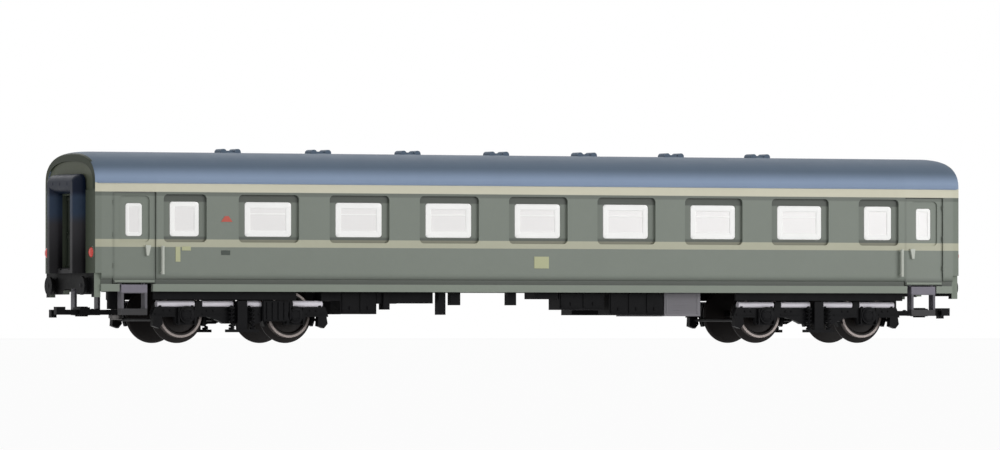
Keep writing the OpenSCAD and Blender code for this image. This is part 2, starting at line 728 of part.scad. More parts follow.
// Coil springs on the hanger plates
module bogie_springs() {
    y = frame_y1 + seat_gap/2;
    color([0.2, 0.2, 0.21]) for (side = [0, 1], x = [-2, 2]) on_side(side)
        translate([x, -y - 0.6, axle_z - 2.6]) cylinder(r = 0.55, h = 3.9, $fn = 24);
}

// Brake hangers at the four ends of a frame
module bogie_brakes() {
    f = frame_len/2;
    z = axle_z - 0.4;
    color([0.08, 0.08, 0.09]) for (side = [0, 1], s = [-1, 1]) on_side(side)
        translate([s*(f - 1.1), -frame_y0, 0]) rotate([90, 0, 0]) linear_extrude(frame_t)
            polygon([[-0.8, z], [0.8, z], [1, z - 1.2], [0.3, z - 2], [-0.9, z - 1.6]]);
}

// A wheel about the axle, its back face at y = back_to_back/2 and its face at +Y
module wheel() {
    flange_t = 0.65;
    rotate([-90, 0, 0]) difference() {
        rotate_extrude($fn = 72) polygon([
            [axle_r + 0.02, 0], [flange_r - 0.35, 0], [flange_r, 0.22], [flange_r, 0.42],
            [tread_r + 0.12, flange_t], [tread_r, flange_t + 0.25], [tread_r - 0.06, wheel_w],
            [tread_r - 0.75, wheel_w], [tread_r - 1, wheel_w - 0.5], [axle_r + 0.85, wheel_w - 0.5],
            [axle_r + 0.7, wheel_w + 0.1], [axle_r + 0.02, wheel_w + 0.1]]);
    }
}

module wheels() {
    color([0.5, 0.49, 0.48]) translate([0, 0, axle_z]) for (s = [0, 1]) mirror([0, s, 0])
        translate([0, back_to_back/2, 0]) wheel();
}

module axle() {
    long = frame_y0 + 0.85;
    shoulder = frame_y0 - 0.35;
    color([0.25, 0.25, 0.26]) translate([0, 0, axle_z]) rotate([90, 0, 0]) union() {
        cylinder(r = axle_r, h = 2*shoulder, center = true, $fn = 32);
        cylinder(r = journal_r, h = 2*long, center = true, $fn = 32);
    }
}

bogie_xs = [-pivot_x, pivot_x];
axle_xs = [for (x = bogie_xs, s = [-1, 1]) x + s*wheelbase/2];

module bogie_frame_front() { translate([bogie_xs[0], 0, 0]) bogie_frame(); }
module bogie_frame_rear() { translate([bogie_xs[1], 0, 0]) bogie_frame(); }
module bogie_hangers_front() { translate([bogie_xs[0], 0, 0]) bogie_hangers(); }
module bogie_hangers_rear() { translate([bogie_xs[1], 0, 0]) bogie_hangers(); }
module bogie_springs_front() { translate([bogie_xs[0], 0, 0]) bogie_springs(); }
module bogie_springs_rear() { translate([bogie_xs[1], 0, 0]) bogie_springs(); }
module bogie_brakes_front() { translate([bogie_xs[0], 0, 0]) bogie_brakes(); }
module bogie_brakes_rear() { translate([bogie_xs[1], 0, 0]) bogie_brakes(); }
module wheels_1() { translate([axle_xs[0], 0, 0]) wheels(); }
module wheels_2() { translate([axle_xs[1], 0, 0]) wheels(); }
module wheels_3() { translate([axle_xs[2], 0, 0]) wheels(); }
module wheels_4() { translate([axle_xs[3], 0, 0]) wheels(); }
module axle_1() { translate([axle_xs[0], 0, 0]) axle(); }
module axle_2() { translate([axle_xs[1], 0, 0]) axle(); }
module axle_3() { translate([axle_xs[2], 0, 0]) axle(); }
module axle_4() { translate([axle_xs[3], 0, 0]) axle(); }

// Pivot screws: one under each bogie's cross beam and one under each coupler
module screw(x, r, z_head, z_top, head) {
    translate([x, 0, z_head]) union() {
        cylinder(r = r, h = z_top - z_head);
        cylinder(r = r + head, h = 0.5);
    }
}
module pivot_screws() {
    color([0.6, 0.6, 0.6]) for (s = [-1, 1]) {
        screw(s*pivot_x, pivot_r, cross_z0 - seat_gap - 0.5, pad_z + 2.3, 0.9);
        screw(s*coupler_x, coupler_pin_r, shank_z0 - seat_gap - 0.5, shank_z1 + 2.3, 0.5);
    }
}

// ---------------------------------------------------------------- couplers

shank_z0 = axle_z - 0.05;
shank_z1 = shank_z0 + 0.9;
head_x = half_len + coupler_out;
// A coupler at the rear end: an eye on its pivot, a shank, its pocket and a hooked head
module coupler(end) {
    eye_r = coupler_pin_r + 0.9;
    color([0.08, 0.08, 0.09]) on_end(end) difference() {
        union() {
            translate([coupler_x, 0, shank_z0]) cylinder(r = eye_r, h = shank_z1 - shank_z0);
            block([coupler_x, -shank_w/2, shank_z0], [head_x - 1, shank_w/2, shank_z1]);
            block([half_len - 3.1, -shank_w/2 - 0.7, shank_z0 - 0.1], [half_len - 1.2, shank_w/2 + 0.7, shank_z1 + 0.4]);
            block([head_x - 1.7, -1.7, shank_z0], [head_x - 0.9, 1.7, shank_z1 + 0.5]);
            block([head_x - 1, -1.7, shank_z0], [head_x, -0.5, shank_z1 + 0.5]);
            block([head_x - 1, 0.6, shank_z0 - 0.5], [head_x, 1.7, shank_z1]);
        }
        translate([coupler_x, 0, shank_z0 - 1]) cylinder(r = coupler_pin_r + bearing_gap, h = 3);
    }
}
module coupler_front() { coupler(0); }
module coupler_rear() { coupler(1); }

roof();
roof_vents();
side_wall_left();
side_wall_right();
end_wall_front();
end_wall_rear();
door_front_left();
door_front_right();
door_rear_left();
door_rear_right();
glass_left();
glass_right();
door_panes();
gangway_front();
gangway_rear();
gangway_door_front();
gangway_door_rear();
tail_lamps();
handrails();
door_handles();
floor_pan();
ballast();
compartments();
seats();
sole_bars();
buffer_beam_front();
buffer_beam_rear();
buffers();
entrance_steps();
battery_boxes();
equipment_boxes();
converter_boxes();
brake_gear();
air_reservoir();
pivot_screws();
bogie_frame_front();
bogie_hangers_front();
bogie_springs_front();
bogie_brakes_front();
bogie_frame_rear();
bogie_hangers_rear();
bogie_springs_rear();
bogie_brakes_rear();
wheels_1();
axle_1();
wheels_2();
axle_2();
wheels_3();
axle_3();
wheels_4();
axle_4();
coupler_front();
coupler_rear();
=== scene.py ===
# %% [markdown]
# # A scale model of a railway passenger coach
# The real object is a moulded and painted model, about 18 cm long. Its sizes and its moving parts
# come ready made from a CAD model, which this lesson loads and never changes. What is left for
# Blender is the look: paint, plastic and metal that vary a little over every surface, and the
# small pieces that a CAD source leaves out, such as window frames, coil springs and lids.

# %% The frame
import math

import bmesh
import bpy
from mathutils import Matrix, Vector


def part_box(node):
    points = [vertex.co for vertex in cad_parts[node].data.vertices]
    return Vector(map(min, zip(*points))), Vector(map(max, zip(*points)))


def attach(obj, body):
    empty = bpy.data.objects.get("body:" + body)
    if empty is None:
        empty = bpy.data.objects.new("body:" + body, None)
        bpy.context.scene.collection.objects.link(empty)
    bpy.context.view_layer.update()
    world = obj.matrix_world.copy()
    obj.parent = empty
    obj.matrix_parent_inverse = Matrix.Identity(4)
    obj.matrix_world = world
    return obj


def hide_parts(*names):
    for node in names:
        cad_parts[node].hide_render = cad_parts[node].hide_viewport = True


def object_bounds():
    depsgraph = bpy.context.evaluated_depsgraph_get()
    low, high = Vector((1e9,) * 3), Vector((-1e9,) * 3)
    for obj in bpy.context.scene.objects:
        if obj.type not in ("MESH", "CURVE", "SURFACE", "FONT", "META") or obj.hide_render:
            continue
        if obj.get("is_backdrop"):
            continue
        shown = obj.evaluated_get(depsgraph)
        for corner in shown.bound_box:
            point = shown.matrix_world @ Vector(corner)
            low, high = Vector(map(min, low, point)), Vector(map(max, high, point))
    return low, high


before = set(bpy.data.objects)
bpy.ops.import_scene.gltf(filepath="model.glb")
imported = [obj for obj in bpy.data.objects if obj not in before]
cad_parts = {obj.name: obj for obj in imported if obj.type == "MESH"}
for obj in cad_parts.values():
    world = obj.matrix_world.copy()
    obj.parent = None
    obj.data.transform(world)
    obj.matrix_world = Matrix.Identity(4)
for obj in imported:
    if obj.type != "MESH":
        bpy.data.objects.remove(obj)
cad_low, cad_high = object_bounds()
scene = bpy.context.scene
MM = 0.001
print("size in mm:", [round(v / MM, 1) for v in cad_high - cad_low])


# %% [markdown]
# Everything in this lesson is worked out in millimetres, because that is how one thinks about a
# model this small, and turned into metres once, when a mesh is made. The CAD pieces say where
# things are: a span is the box of one of them.

# %% Places on the coach
def span(node):
    """The lowest and highest corner of a CAD piece, in millimetres."""
    low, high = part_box(node)
    return low / MM, high / MM


def centre(node):
    """The middle of a CAD piece's box, in millimetres."""
    low, high = span(node)
    return (low + high) / 2


wall_low, wall_high = span("side_wall_left")
end_high = span("end_wall_rear")[1]
door_low, door_high = span("door_rear_left")
wall_half = -wall_low.y             # half the width between the draw-ins
end_half = end_high.y               # half the width at the end walls
half_len = end_high.x
door_gap = 0.1
taper_x = door_low.x - door_gap     # where the sides start to draw in
door_mid = centre("door_rear_left").x
eaves_z = wall_high.z


def face_y(x):
    """Half the body's width at a place along it."""
    drawn = max(0, abs(x) - taper_x) / (half_len - taper_x)
    return wall_half - drawn * (wall_half - end_half)


print("half width", round(wall_half, 2), "drawn in to", round(face_y(half_len), 2))

# %% [markdown]
# ## Camera
# The coach is seen from well away, a little from its front end and from the height of its wheels.
# A long lens does that: nearly parallel lines, with a slight pull towards the far end. The camera
# stands level with the wheel treads and looks up by less than a degree.

# %% Camera
view_angle = math.radians(25.79)
view_distance = 1605
focal = 8.974                       # in widths of the picture
aside, upward = -0.00108, 0.01259   # where the middle of the picture lies off the level line
eye_z = 0.9

ahead = Vector((math.sin(view_angle), math.cos(view_angle), 0))
across = Vector((math.cos(view_angle), -math.sin(view_angle), 0))
lens = bpy.data.cameras.new("camera")
lens.sensor_width = 36
lens.lens = focal * lens.sensor_width
lens.clip_start, lens.clip_end = 0.05, 100
camera = bpy.data.objects.new("camera", lens)
camera.location = (Vector((0, 0, eye_z)) - ahead * view_distance) * MM
aim = ahead + across * aside + Vector((0, 0, upward))
camera.rotation_euler = aim.to_track_quat("-Z", "Y").to_euler()
scene.collection.objects.link(camera)
scene.camera = camera
print("lens", round(lens.lens, 1), "mm at", round(camera.location.length, 3), "m")


# %% [markdown]
# ## Shader maths
# A material is a net of nodes, and sums written as nodes are hard to read. So one small class
# wraps a node's output and lets Python's own signs add the Math nodes: `1 - mask` or
# `dust * 0.2 + 0.4` can be written as they are thought. A second class is the net itself, with
# one method for every other kind of node, and a finish is such a net with a surface shader.

# %% Sums on sockets
class Wire:
    """One output in a net of nodes, which can be used in a sum."""

    def __init__(self, net, socket):
        self.net, self.socket = net, socket

    def maths(self, operation, *values):
        return self.net.node("Math", {"operation": operation}, values)

    def __add__(self, other):
        return self.maths("ADD", self, other)

    def __sub__(self, other):
        return self.maths("SUBTRACT", self, other)

    def __rsub__(self, other):
        return self.maths("SUBTRACT", other, self)

    def __mul__(self, other):
        return self.maths("MULTIPLY", self, other)

    def __abs__(self):
        return self.maths("ABSOLUTE", self)

    def __pow__(self, other):
        return self.maths("POWER", self, other)

    __radd__ = __add__
    __rmul__ = __mul__

    def rise(self, start, end):
        """0 below start, 1 above end, and a smooth step between them."""
        settings = {"interpolation_type": "SMOOTHSTEP"}
        return self.net.node("MapRange", settings, {0: self, 1: start, 2: end})

    def band(self, start, end, soft=0.03):
        """1 between two values and 0 outside them."""
        return self.rise(start - soft, start + soft) * (1 - self.rise(end - soft, end + soft))


class Net:
    """The nodes of a material or of the world."""

    def __init__(self, tree):
        self.tree = tree

    def node(self, kind, settings=None, inputs=(), output=0):
        """Adds a node: its settings first, then the values or links of its sockets."""
        made = self.tree.nodes.new("ShaderNode" + kind)
        for name, value in (settings or {}).items():
            setattr(made, name, value)
        pairs = inputs.items() if isinstance(inputs, dict) else enumerate(inputs)
        for name, value in pairs:
            self.feed(made.inputs[name], value)
        return Wire(self, made.outputs[output]) if made.outputs else None

    def feed(self, socket, value):
        if isinstance(value, Wire):
            self.tree.links.new(value.socket, socket)
        else:
            socket.default_value = value[:3] if socket.type == "VECTOR" else value

    def seen_directly(self):
        """1 for what the camera sees itself, in a reflection, or through something clear."""
        seen = 0
        for name in ("Camera", "Glossy", "Transmission"):
            ray = self.node("LightPath", output=f"Is {name} Ray")
            seen = ray.maths("MAXIMUM", ray, seen)
        return seen


print("signs that make nodes: + - * ** abs")


# %% A finish
def tone(red, green, blue):
    """A colour as it is seen, from 0 to 255, turned into the light that Blender works with."""
    def light(v):
        v /= 255
        return v / 12.92 if v <= 0.04045 else ((v + 0.055) / 1.055) ** 2.4
    return light(red), light(green), light(blue), 1


class Finish(Net):
    """A material with its surface shader."""

    def __init__(self, name, colour, roughness=0.5, metallic=0.0):
        self.material = bpy.data.materials.new(name)
        self.material.use_nodes = True
        super().__init__(self.material.node_tree)
        self.surface = self.tree.nodes["Principled BSDF"]
        self.material.diffuse_color = colour
        self.surface.inputs["Base Color"].default_value = colour
        self.surface.inputs["Roughness"].default_value = roughness
        self.surface.inputs["Metallic"].default_value = metallic
        place = self.node("TexCoord", output="Object")
        self.place = self.node("VectorMath", {"operation": "SCALE"}, {0: place, "Scale": 1 / MM})
        self.x, self.y, self.z = self.split(self.place)
        self.level = 1                  # how light its paint is from place to place

    def split(self, vector):
        """The X, Y and Z of a vector."""
        parts = self.node("SeparateXYZ", inputs=[vector]).socket.node.outputs
        return [Wire(self, part) for part in parts]

    def facing(self, axis):
        """1 on flat faces that look along an axis, either way."""
        normal = self.split(self.node("NewGeometry", output="True Normal"))
        return abs(normal["xyz".index(axis)]).rise(0.6, 0.8)

    def set(self, name, value):
        """A value that is the same all over, or a wire for a socket that may vary."""
        self.feed(self.surface.inputs[name], value)

    def mix(self, first, second, share):
        """One colour turning into another as share goes from 0 to 1."""
        return self.node("Mix", {"data_type": "RGBA"}, {0: share, 6: first, 7: second}, output=2)

    def shaded(self, colour, amount):
        """A colour made darker where amount is below 1 and lighter where it is above."""
        return self.node("VectorMath", {"operation": "SCALE"}, {0: colour, "Scale": amount})

    def over(self, under, colour, mask):
        """A coat of this finish's paint over another one, where the mask is 1."""
        return self.mix(under, self.shaded(colour, self.level), mask)

    def dimmed(self, colour, amount, mask):
        """A colour made darker where the mask is 1."""
        return self.mix(colour, self.shaded(colour, amount), mask)

    def speckle(self, size, detail):
        """Soft spots of about this size in millimetres, from 0 to 1."""
        sockets = {"Vector": self.place, "Scale": 1 / size, "Detail": detail}
        return self.node("TexNoise", inputs=sockets)

    def mottled(self, colour, size, detail, amount):
        """Makes the colour lighter and darker in spots."""
        self.set("Base Color", self.shaded(colour, 1 + (self.speckle(size, detail) - 0.5) * amount))

    def patchy_gloss(self, roughness, size, detail, amount):
        """Makes the roughness drift in spots about a value."""
        self.set("Roughness", self.speckle(size, detail) * amount + (roughness - amount / 2))

    def bump(self, height, depth):
        """Relief in the surface, depth millimetres high where height goes from 0 to 1."""
        sockets = {"Height": height, "Distance": depth * MM, "Strength": 1}
        normal = self.node("Bump", inputs=sockets)
        self.feed(self.surface.inputs["Normal"], normal)


print("a grey of 128 is", round(tone(128, 128, 128)[0], 3), "of white in light")


# %% [markdown]
# ## Light and floor
# Plain studio light: an even pale world for most of it, a broad lamp to the front and right of
# the coach, a weaker one opposite, and one overhead. The background is white because the world
# and the floor show white to the camera and in reflections, and not because more light falls on
# the model. The floor keeps a part of its own shading, so that it still shows the shadow.

# %% World
world = bpy.data.worlds.new("studio")
scene.world = world
world.use_nodes = True
world.node_tree.nodes.clear()
sky = Net(world.node_tree)
world_level = 0.52
pure_white = (1, 1, 1, 1)
plain = sky.node("Background", inputs={"Color": pure_white, "Strength": world_level})
white = sky.node("Background", inputs={"Color": pure_white, "Strength": 1})
sky.node("OutputWorld", inputs=[sky.node("MixShader", inputs=[sky.seen_directly(), plain, white])])
print("world level", world_level)


# %% Lamps
def lamp(name, azimuth, elevation, distance, size, share):
    """A square soft lamp aimed at the coach. Share is its part of the light that shows a white
    surface as white."""
    data = bpy.data.lights.new(name, "AREA")
    data.shape = "SQUARE"
    data.size = size
    data.energy = share * (math.pi * distance) ** 2
    made = bpy.data.objects.new(name, data)
    a, e = math.radians(azimuth), math.radians(elevation)
    way = Vector((math.sin(a) * math.cos(e), -math.cos(a) * math.cos(e), math.sin(e)))
    middle = (cad_low + cad_high) / 2
    made.location = middle + way * distance
    made.rotation_euler = (-way).to_track_quat("-Z", "Y").to_euler()
    scene.collection.objects.link(made)


lamp("key", 42, 14, 1.6, 0.9, 0.40)
lamp("fill", -60, 20, 1.8, 1.2, 0.05)
lamp("back", 170, 40, 1.8, 1.2, 0.14)

# %% Floor
floor_mesh = bpy.data.meshes.new("floor")
reach = 30
corners = [(-reach, -reach, 0), (reach, -reach, 0), (reach, reach, 0), (-reach, reach, 0)]
floor_mesh.from_pydata([(x, y, cad_low.z) for x, y, z in corners], [], [(0, 1, 2, 3)])
floor = bpy.data.objects.new("floor", floor_mesh)
scene.collection.objects.link(floor)
floor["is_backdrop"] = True
own_light = 0.93                    # how much of the floor is plain white to the camera
floor_paint = Finish("floor_paint", tone(238, 238, 238), 0.9)
floor_paint.set("Specular IOR Level", 0)
glow = floor_paint.node("Emission", inputs={"Color": pure_white, "Strength": 1})
shell = Wire(floor_paint, floor_paint.surface.outputs[0])
both = floor_paint.node("MixShader", inputs=[floor_paint.seen_directly() * own_light, shell, glow])
floor_paint.feed(floor_paint.tree.nodes["Material Output"].inputs["Surface"], both)
floor_mesh.materials.append(floor_paint.material)
scene.view_settings.view_transform = "Standard"
print("floor at", round(cad_low.z / MM, 2), "mm")


# %% [markdown]
# ## Painted finishes
# The body of such a model is sprayed: a satin coat with a very fine orange peel, a little
# unevenness in its gloss, and next to no wear. Printed stripes have sharp edges and lie in the
# same coat. One function makes any sprayed finish from its colour, and the striped one adds its
# stripes as masks on the height.

# %% Sprayed paint
def sprayed(name, colour, roughness=0.42):
    """A satin coat of paint. Its colour and gloss drift a little, and it has a fine peel."""
    finish = Finish(name, colour, roughness)
    drift = finish.speckle(9, 3) + finish.speckle(1.2, 2) * 0.5
    finish.level = 1 + (drift - 0.75) * 0.07
    finish.set("Base Color", finish.shaded(colour, finish.level))
    finish.patchy_gloss(roughness, 3.5, 3, 0.12)
    finish.set("Specular IOR Level", 0.3)
    finish.bump(finish.speckle(0.45, 2), 0.008)
    return finish


print("sprayed paint ready")

# %% [markdown]
# The sides carry a wide cream band under the roof and a narrow one under the windows. The sunk
# frames round the panes are painted darker as painted shade, most under their upper edge, and so
# is the foot that turns under. All of it is found from the place on the body, so the stripes run on
# over the doors and round the edges of the end walls without a step. Painted shade also lies along
# the upright edges of the doors, and in a thin dark line under the upper band.

# %% Striped paint
body_green = tone(128, 135, 126)
cream = tone(214, 211, 190)
stripe_cream = tone(184, 184, 163)
band_low, band_high = eaves_z - 1.55, eaves_z + 0.02
stripe_low, stripe_high = eaves_z - 11.15, eaves_z - 9.8
foot_z = wall_low.z + 1.9


def side_colours(finish, sunk):
    """The body's colours by height. Sunk says whether to paint shade into what lies behind the face."""
    painted = finish.shaded(body_green, finish.level)
    painted = finish.over(painted, stripe_cream, finish.z.band(stripe_low, stripe_high))
    if sunk:
        # Painted shade in the sunk frames round the panes: darker all round, most under their upper edge
        # and over the stripe at their foot.
        recess_shade = 1 - abs(finish.y).rise(wall_half - 0.3, wall_half - 0.24)
        recess_shade = recess_shade * finish.z.band(eaves_z - 10.4, eaves_z - 1.8)
        recess_shade = recess_shade * (1 - abs(finish.x).rise(taper_x - 0.4, taper_x - 0.3))
        shade_above_pane = finish.z.rise(eaves_z - 3.4, eaves_z - 3.1)
        shade_below_pane = 1 - finish.z.rise(eaves_z - 9.5, eaves_z - 9.1)
        painted = finish.dimmed(painted, 0.84 - shade_above_pane * 0.42 - shade_below_pane * 0.34, recess_shade)
    painted = finish.over(painted, cream, finish.z.band(band_low, band_high))
    # A thin painted shadow under the upper band.
    painted = finish.dimmed(painted, 0.72, finish.z.band(band_low - 0.7, band_low, 0.12))
    # Painted shade along the upright edges of the doors, where the gaps are.
    for edge in (door_low.x, door_high.x):
        door_edge_shade = 1 - abs(abs(finish.x) - edge).rise(0.05, 0.5)
        door_edge_shade = door_edge_shade * (1 - finish.z.rise(band_low - 0.3, band_low))
        painted = finish.dimmed(painted, 0.86, door_edge_shade)
    # Painted shade on the foot that turns under.
    return finish.dimmed(painted, 0.42, 1 - finish.z.rise(foot_z - 1.5, foot_z - 0.2))


def striped(name, sunk):
    """Sprayed paint with the colours of the sides, and their painted shade."""
    finish = sprayed(name, body_green)
    finish.set("Base Color", side_colours(finish, sunk))
    return finish


side_paint = striped("side_paint", True)
door_paint = striped("door_paint", False)
strip_green = tone(134, 142, 131)
strip_paint = sprayed("strip_paint", strip_green)
print("stripe from", round(stripe_low, 2), "to", round(stripe_high, 2))

# %% [markdown]
# The roof is grey-blue. Its crown is painted darker as painted shade, and the cove just over the
# eaves paler as a painted highlight. The end walls are painted a darker green than the sides as
# painted shade, with an olive panel sunk under the arch, and their narrow edges are painted with
# the sides and the roof.

# %% Roof and end paint
# A darker crown as painted shade, and a paler cove as a painted highlight.
roof_crown_shaded, roof_cove_lit = tone(96, 111, 128), tone(140, 158, 184)


def roof_colours(finish):
    """The roof's colours by height: a painted highlight over the eaves, painted shade on the crown."""
    cove_highlight = 1 - (finish.z - eaves_z).rise(0.9, 3.2)
    return finish.over(finish.shaded(roof_crown_shaded, finish.level), roof_cove_lit, cove_highlight)


roof_paint = sprayed("roof_paint", roof_crown_shaded, 0.55)
roof_paint.set("Base Color", roof_colours(roof_paint))
roof_paint.set("Specular IOR Level", 0.15)

# The end walls' darker green is painted shade.
end_green, rim_green, panel_green = tone(78, 85, 73), tone(50, 57, 43), tone(88, 93, 78)
end_paint = sprayed("end_paint", end_green)
end_paint.set("Specular IOR Level", 0.1)
on_face = abs(end_paint.x).rise(half_len - 0.5, half_len - 0.4)
in_panel = (1 - abs(end_paint.x).rise(half_len - 0.2, half_len - 0.1)) * on_face
in_panel = in_panel * end_paint.facing("x")
above = end_paint.z.rise(eaves_z - 1.3, eaves_z - 0.8)
front = end_paint.over(end_paint.shaded(end_green, end_paint.level), rim_green, above)
front = end_paint.over(front, panel_green, in_panel)
edge = end_paint.mix(side_colours(end_paint, False), roof_colours(end_paint),
                     end_paint.z.rise(eaves_z, eaves_z + 0.04))
at_side = abs(end_paint.y).rise(end_half - 2.5, end_half - 2) * (1 - end_paint.facing("x"))
end_paint.set("Base Color", end_paint.mix(front, edge, at_side))
print("roof from", round(eaves_z, 2), "to", round(span("roof")[1].z, 2))


# %% [markdown]
# ## Moulded plastic
# The underframe, bogies and gangways are dyed plastic straight from the mould: nearly black, not
# glossy, with the fine grain of a spark-eroded mould and a touch of dust on what faces upwards.
# Clear inserts are polished, and the whitish ones here hide what is behind them.

# %% Plastics
def moulded(name, colour, roughness=0.55, grain=0.012, dust=0.0, gloss=0.35):
    """Dyed plastic with the mould's grain, and dust that lies on what faces upwards."""
    finish = Finish(name, colour, roughness)
    finish.set("Specular IOR Level", gloss)
    shade = finish.shaded(colour, 1 + (finish.speckle(4, 3) - 0.5) * 0.16)
    if dust:
        upward = finish.split(finish.node("NewGeometry", output="Normal"))[2]
        patchy = upward.rise(0.2, 0.9) * finish.speckle(1.6, 3).rise(0.3, 0.7) * dust
        shade = finish.mix(shade, tone(120, 116, 108), patchy)
    finish.set("Base Color", shade)
    finish.patchy_gloss(roughness, 1.8, 2, 0.16)
    finish.bump(finish.speckle(0.22, 2), grain)
    return finish


matt = 0.09                         # how little the black parts shine
frame_black = moulded("frame_black", tone(15, 15, 17), dust=0.04, gloss=matt)
bogie_black = moulded("bogie_black", tone(16, 16, 18), 0.5, dust=0.04, gloss=matt)
# Painted shade: the end door is a dark green-black, as it stands in shade between the gangway tubes.
end_door_shade = moulded("end_door_shaded_green", tone(28, 36, 26), 0.5)
rod_grey = moulded("rod_grey", tone(236, 232, 240), 0.45, 0.004)
box_grey = moulded("box_grey", tone(122, 120, 125), 0.48)
rail_white = moulded("rail_white", tone(196, 200, 190), 0.4, 0.004)
frame_white = moulded("frame_white", tone(247, 247, 245), 0.35, 0.003)
inside_beige = moulded("inside_beige", tone(222, 214, 190), 0.6)
seat_red = moulded("seat_red", tone(150, 66, 56), 0.65, 0.02)
print("plastics ready")

# %% [markdown]
# Three mouldings change tone with height. The gangway rubber is a cold blue-black across its top,
# its uprights are toned a lighter grey as a painted highlight, and it is darkest at the foot. The
# steps are near black on the lower tread, grey between and a lilac grey on the upper tread. The
# buffer beams are black on their faces, but their ends were sprayed together with the body.

# %% Toned plastics
rubber_low, rubber_high = span("gangway_rear")
rubber = moulded("gangway_rubber", tone(30, 30, 33), 0.4, 0.006, gloss=0.13)
# Painted highlight: the uprights are toned lighter grey up from a near-black foot, with a blue-grey band
# high on them and a blue-black top.
height = rubber.z - rubber_low.z
rubber_tone_and_sheen = rubber.mix(tone(18, 17, 20), tone(50, 49, 53), height.rise(1.5, 9))
depth = rubber.z - rubber_high.z
rubber_tone_and_sheen = rubber.mix(rubber_tone_and_sheen, tone(44, 58, 78), depth.rise(-9, -6.5))
rubber_tone_and_sheen = rubber.mix(rubber_tone_and_sheen, tone(8, 20, 40), depth.rise(-4.2, -3))
rubber.mottled(rubber_tone_and_sheen, 4, 3, 0.2)

step_low, step_high = span("entrance_steps")
step_grey = moulded("step_grey", tone(98, 95, 102), 0.5)
step_height = step_grey.z - step_low.z
step_tone = step_grey.mix(tone(42, 41, 43), tone(92, 90, 96), step_height.rise(1.0, 1.3))
step_tone = step_grey.mix(step_tone, tone(124, 120, 131), step_height.rise(3.7, 4.1))
step_grey.mottled(step_tone, 2, 3, 0.2)

beam_black = moulded("beam_black", tone(14, 14, 15), dust=0.04, gloss=matt)
beam_tone = beam_black.mix(tone(14, 14, 15), strip_green, beam_black.facing("y"))
beam_black.mottled(beam_tone, 3, 3, 0.16)
print("steps from", round(step_low.z, 2), "to", round(step_high.z, 2))

# %% [markdown]
# The panes are clear plastic frosted from behind, so they look milky and bright, with a polished
# face; a faint painted glow on them and on the white frames stands for the light behind. A very
# wide, faint unevenness is all that a good mould leaves. The lamps are red and clear over a bright
# back, which a little coat, a saturated colour and a painted red glow stand for.

# %% Panes and lamps
painted_glow = 0.1                  # a painted glow on the panes and the white frames
pane_tone = tone(234, 232, 231)
pane = Finish("milky_pane", pane_tone, 0.2)
pane.mottled(pane_tone, 6, 2, 0.03)
# A painted glow on the panes and the white frames.
for glowing in (pane, frame_white):
    glowing.set("Emission Color", pure_white)
    glowing.set("Emission Strength", painted_glow)
pane.patchy_gloss(0.2, 5, 2, 0.06)
pane.set("Coat Weight", 0.12)
pane.set("Coat Roughness", 0.06)
pane.bump(pane.speckle(3, 1), 0.01)

lamp_tone = tone(190, 44, 30)
lamp_red = Finish("lamp_red", lamp_tone, 0.25)
lamp_red.mottled(lamp_tone, 0.6, 1, 0.2)
lamp_red.set("Coat Weight", 0.3)
lamp_red.set("Coat Roughness", 0.1)
# A painted glow: the red lens glows a little for its bright back.
lamp_red.set("Emission Color", lamp_tone)
lamp_red.set("Emission Strength", 0.25)
lamp_red.bump(lamp_red.speckle(0.3, 1), 0.004)
print("pane roughness", pane.surface.inputs["Roughness"].is_linked)


# %% [markdown]
# ## Metal
# The wheels are turned and blackened, and then the treads are polished bright on the rails. The
# mask for the bright ring is the distance from the wheel's own middle, so each wheelset gets its
# own copy of the finish. Turning leaves fine rings, which noise on that distance draws.

# %% Metals
axle_z = centre("axle_1").z
axle_xs = [centre(f"axle_{i}").x for i in (1, 2, 3, 4)]
flange_depth, rim_width = 0.9, 0.45
tread_r = axle_z - span("wheels_1")[0].z - flange_depth
rim_r = tread_r - rim_width
back_y = 5.15                       # the back faces of the wheels


def steel(name, colour, roughness=0.3, size=1.5):
    """Plain steel with a soft brushed look."""
    finish = Finish(name, colour, roughness, 1)
    finish.mottled(colour, size, 3, 0.2)
    finish.patchy_gloss(roughness, size / 2, 3, 0.2)
    finish.bump(finish.speckle(size / 5, 2), 0.004)
    return finish


def turned_wheel(name, middle_x):
    """Blackened steel with a bright rim and tread, and fine rings from the lathe."""
    finish = Finish(name, tone(200, 194, 192), 0.3)
    out_x, out_z = finish.x - middle_x, finish.z - axle_z
    radius = (out_x * out_x + out_z * out_z) ** 0.5
    outside = abs(finish.y).rise(back_y + 0.9, back_y + 1.2)
    bright = radius.rise(rim_r - 0.1, rim_r + 0.05) * outside
    rings = finish.node("CombineXYZ", inputs=[radius, 0, 0])
    rings = finish.node("TexNoise", inputs={"Vector": rings, "Scale": 9, "Detail": 2})
    dark = finish.shaded(tone(26, 22, 21), 0.9 + finish.speckle(1.2, 3) * 0.2)
    finish.set("Specular IOR Level", 0.2)
    shine = finish.shaded(tone(132, 124, 121), 0.92 + rings * 0.16)
    finish.set("Base Color", finish.mix(dark, shine, bright))
    finish.set("Metallic", bright * 0.75)
    finish.set("Roughness", 0.5 - bright * 0.16 + (rings - 0.5) * 0.1)
    finish.bump(rings, 0.012)
    return finish


wheel_finishes = [turned_wheel(f"wheel_steel_{i + 1}", x) for i, x in enumerate(axle_xs)]
dark_steel = steel("axle_steel", tone(96, 94, 95), 0.38)
screw_steel = steel("screw_steel", tone(104, 102, 101), 0.4)
ballast_steel = steel("ballast_steel", tone(150, 149, 150), 0.45, 3)
print("wheels turn about z =", round(axle_z, 2), "at x =", [round(x, 2) for x in axle_xs])


# %% [markdown]
# ## Finishes on the CAD pieces
# Every CAD piece keeps its shape and gets the finish of what it is made from. The table goes from
# finish to the beginnings of the pieces' names.

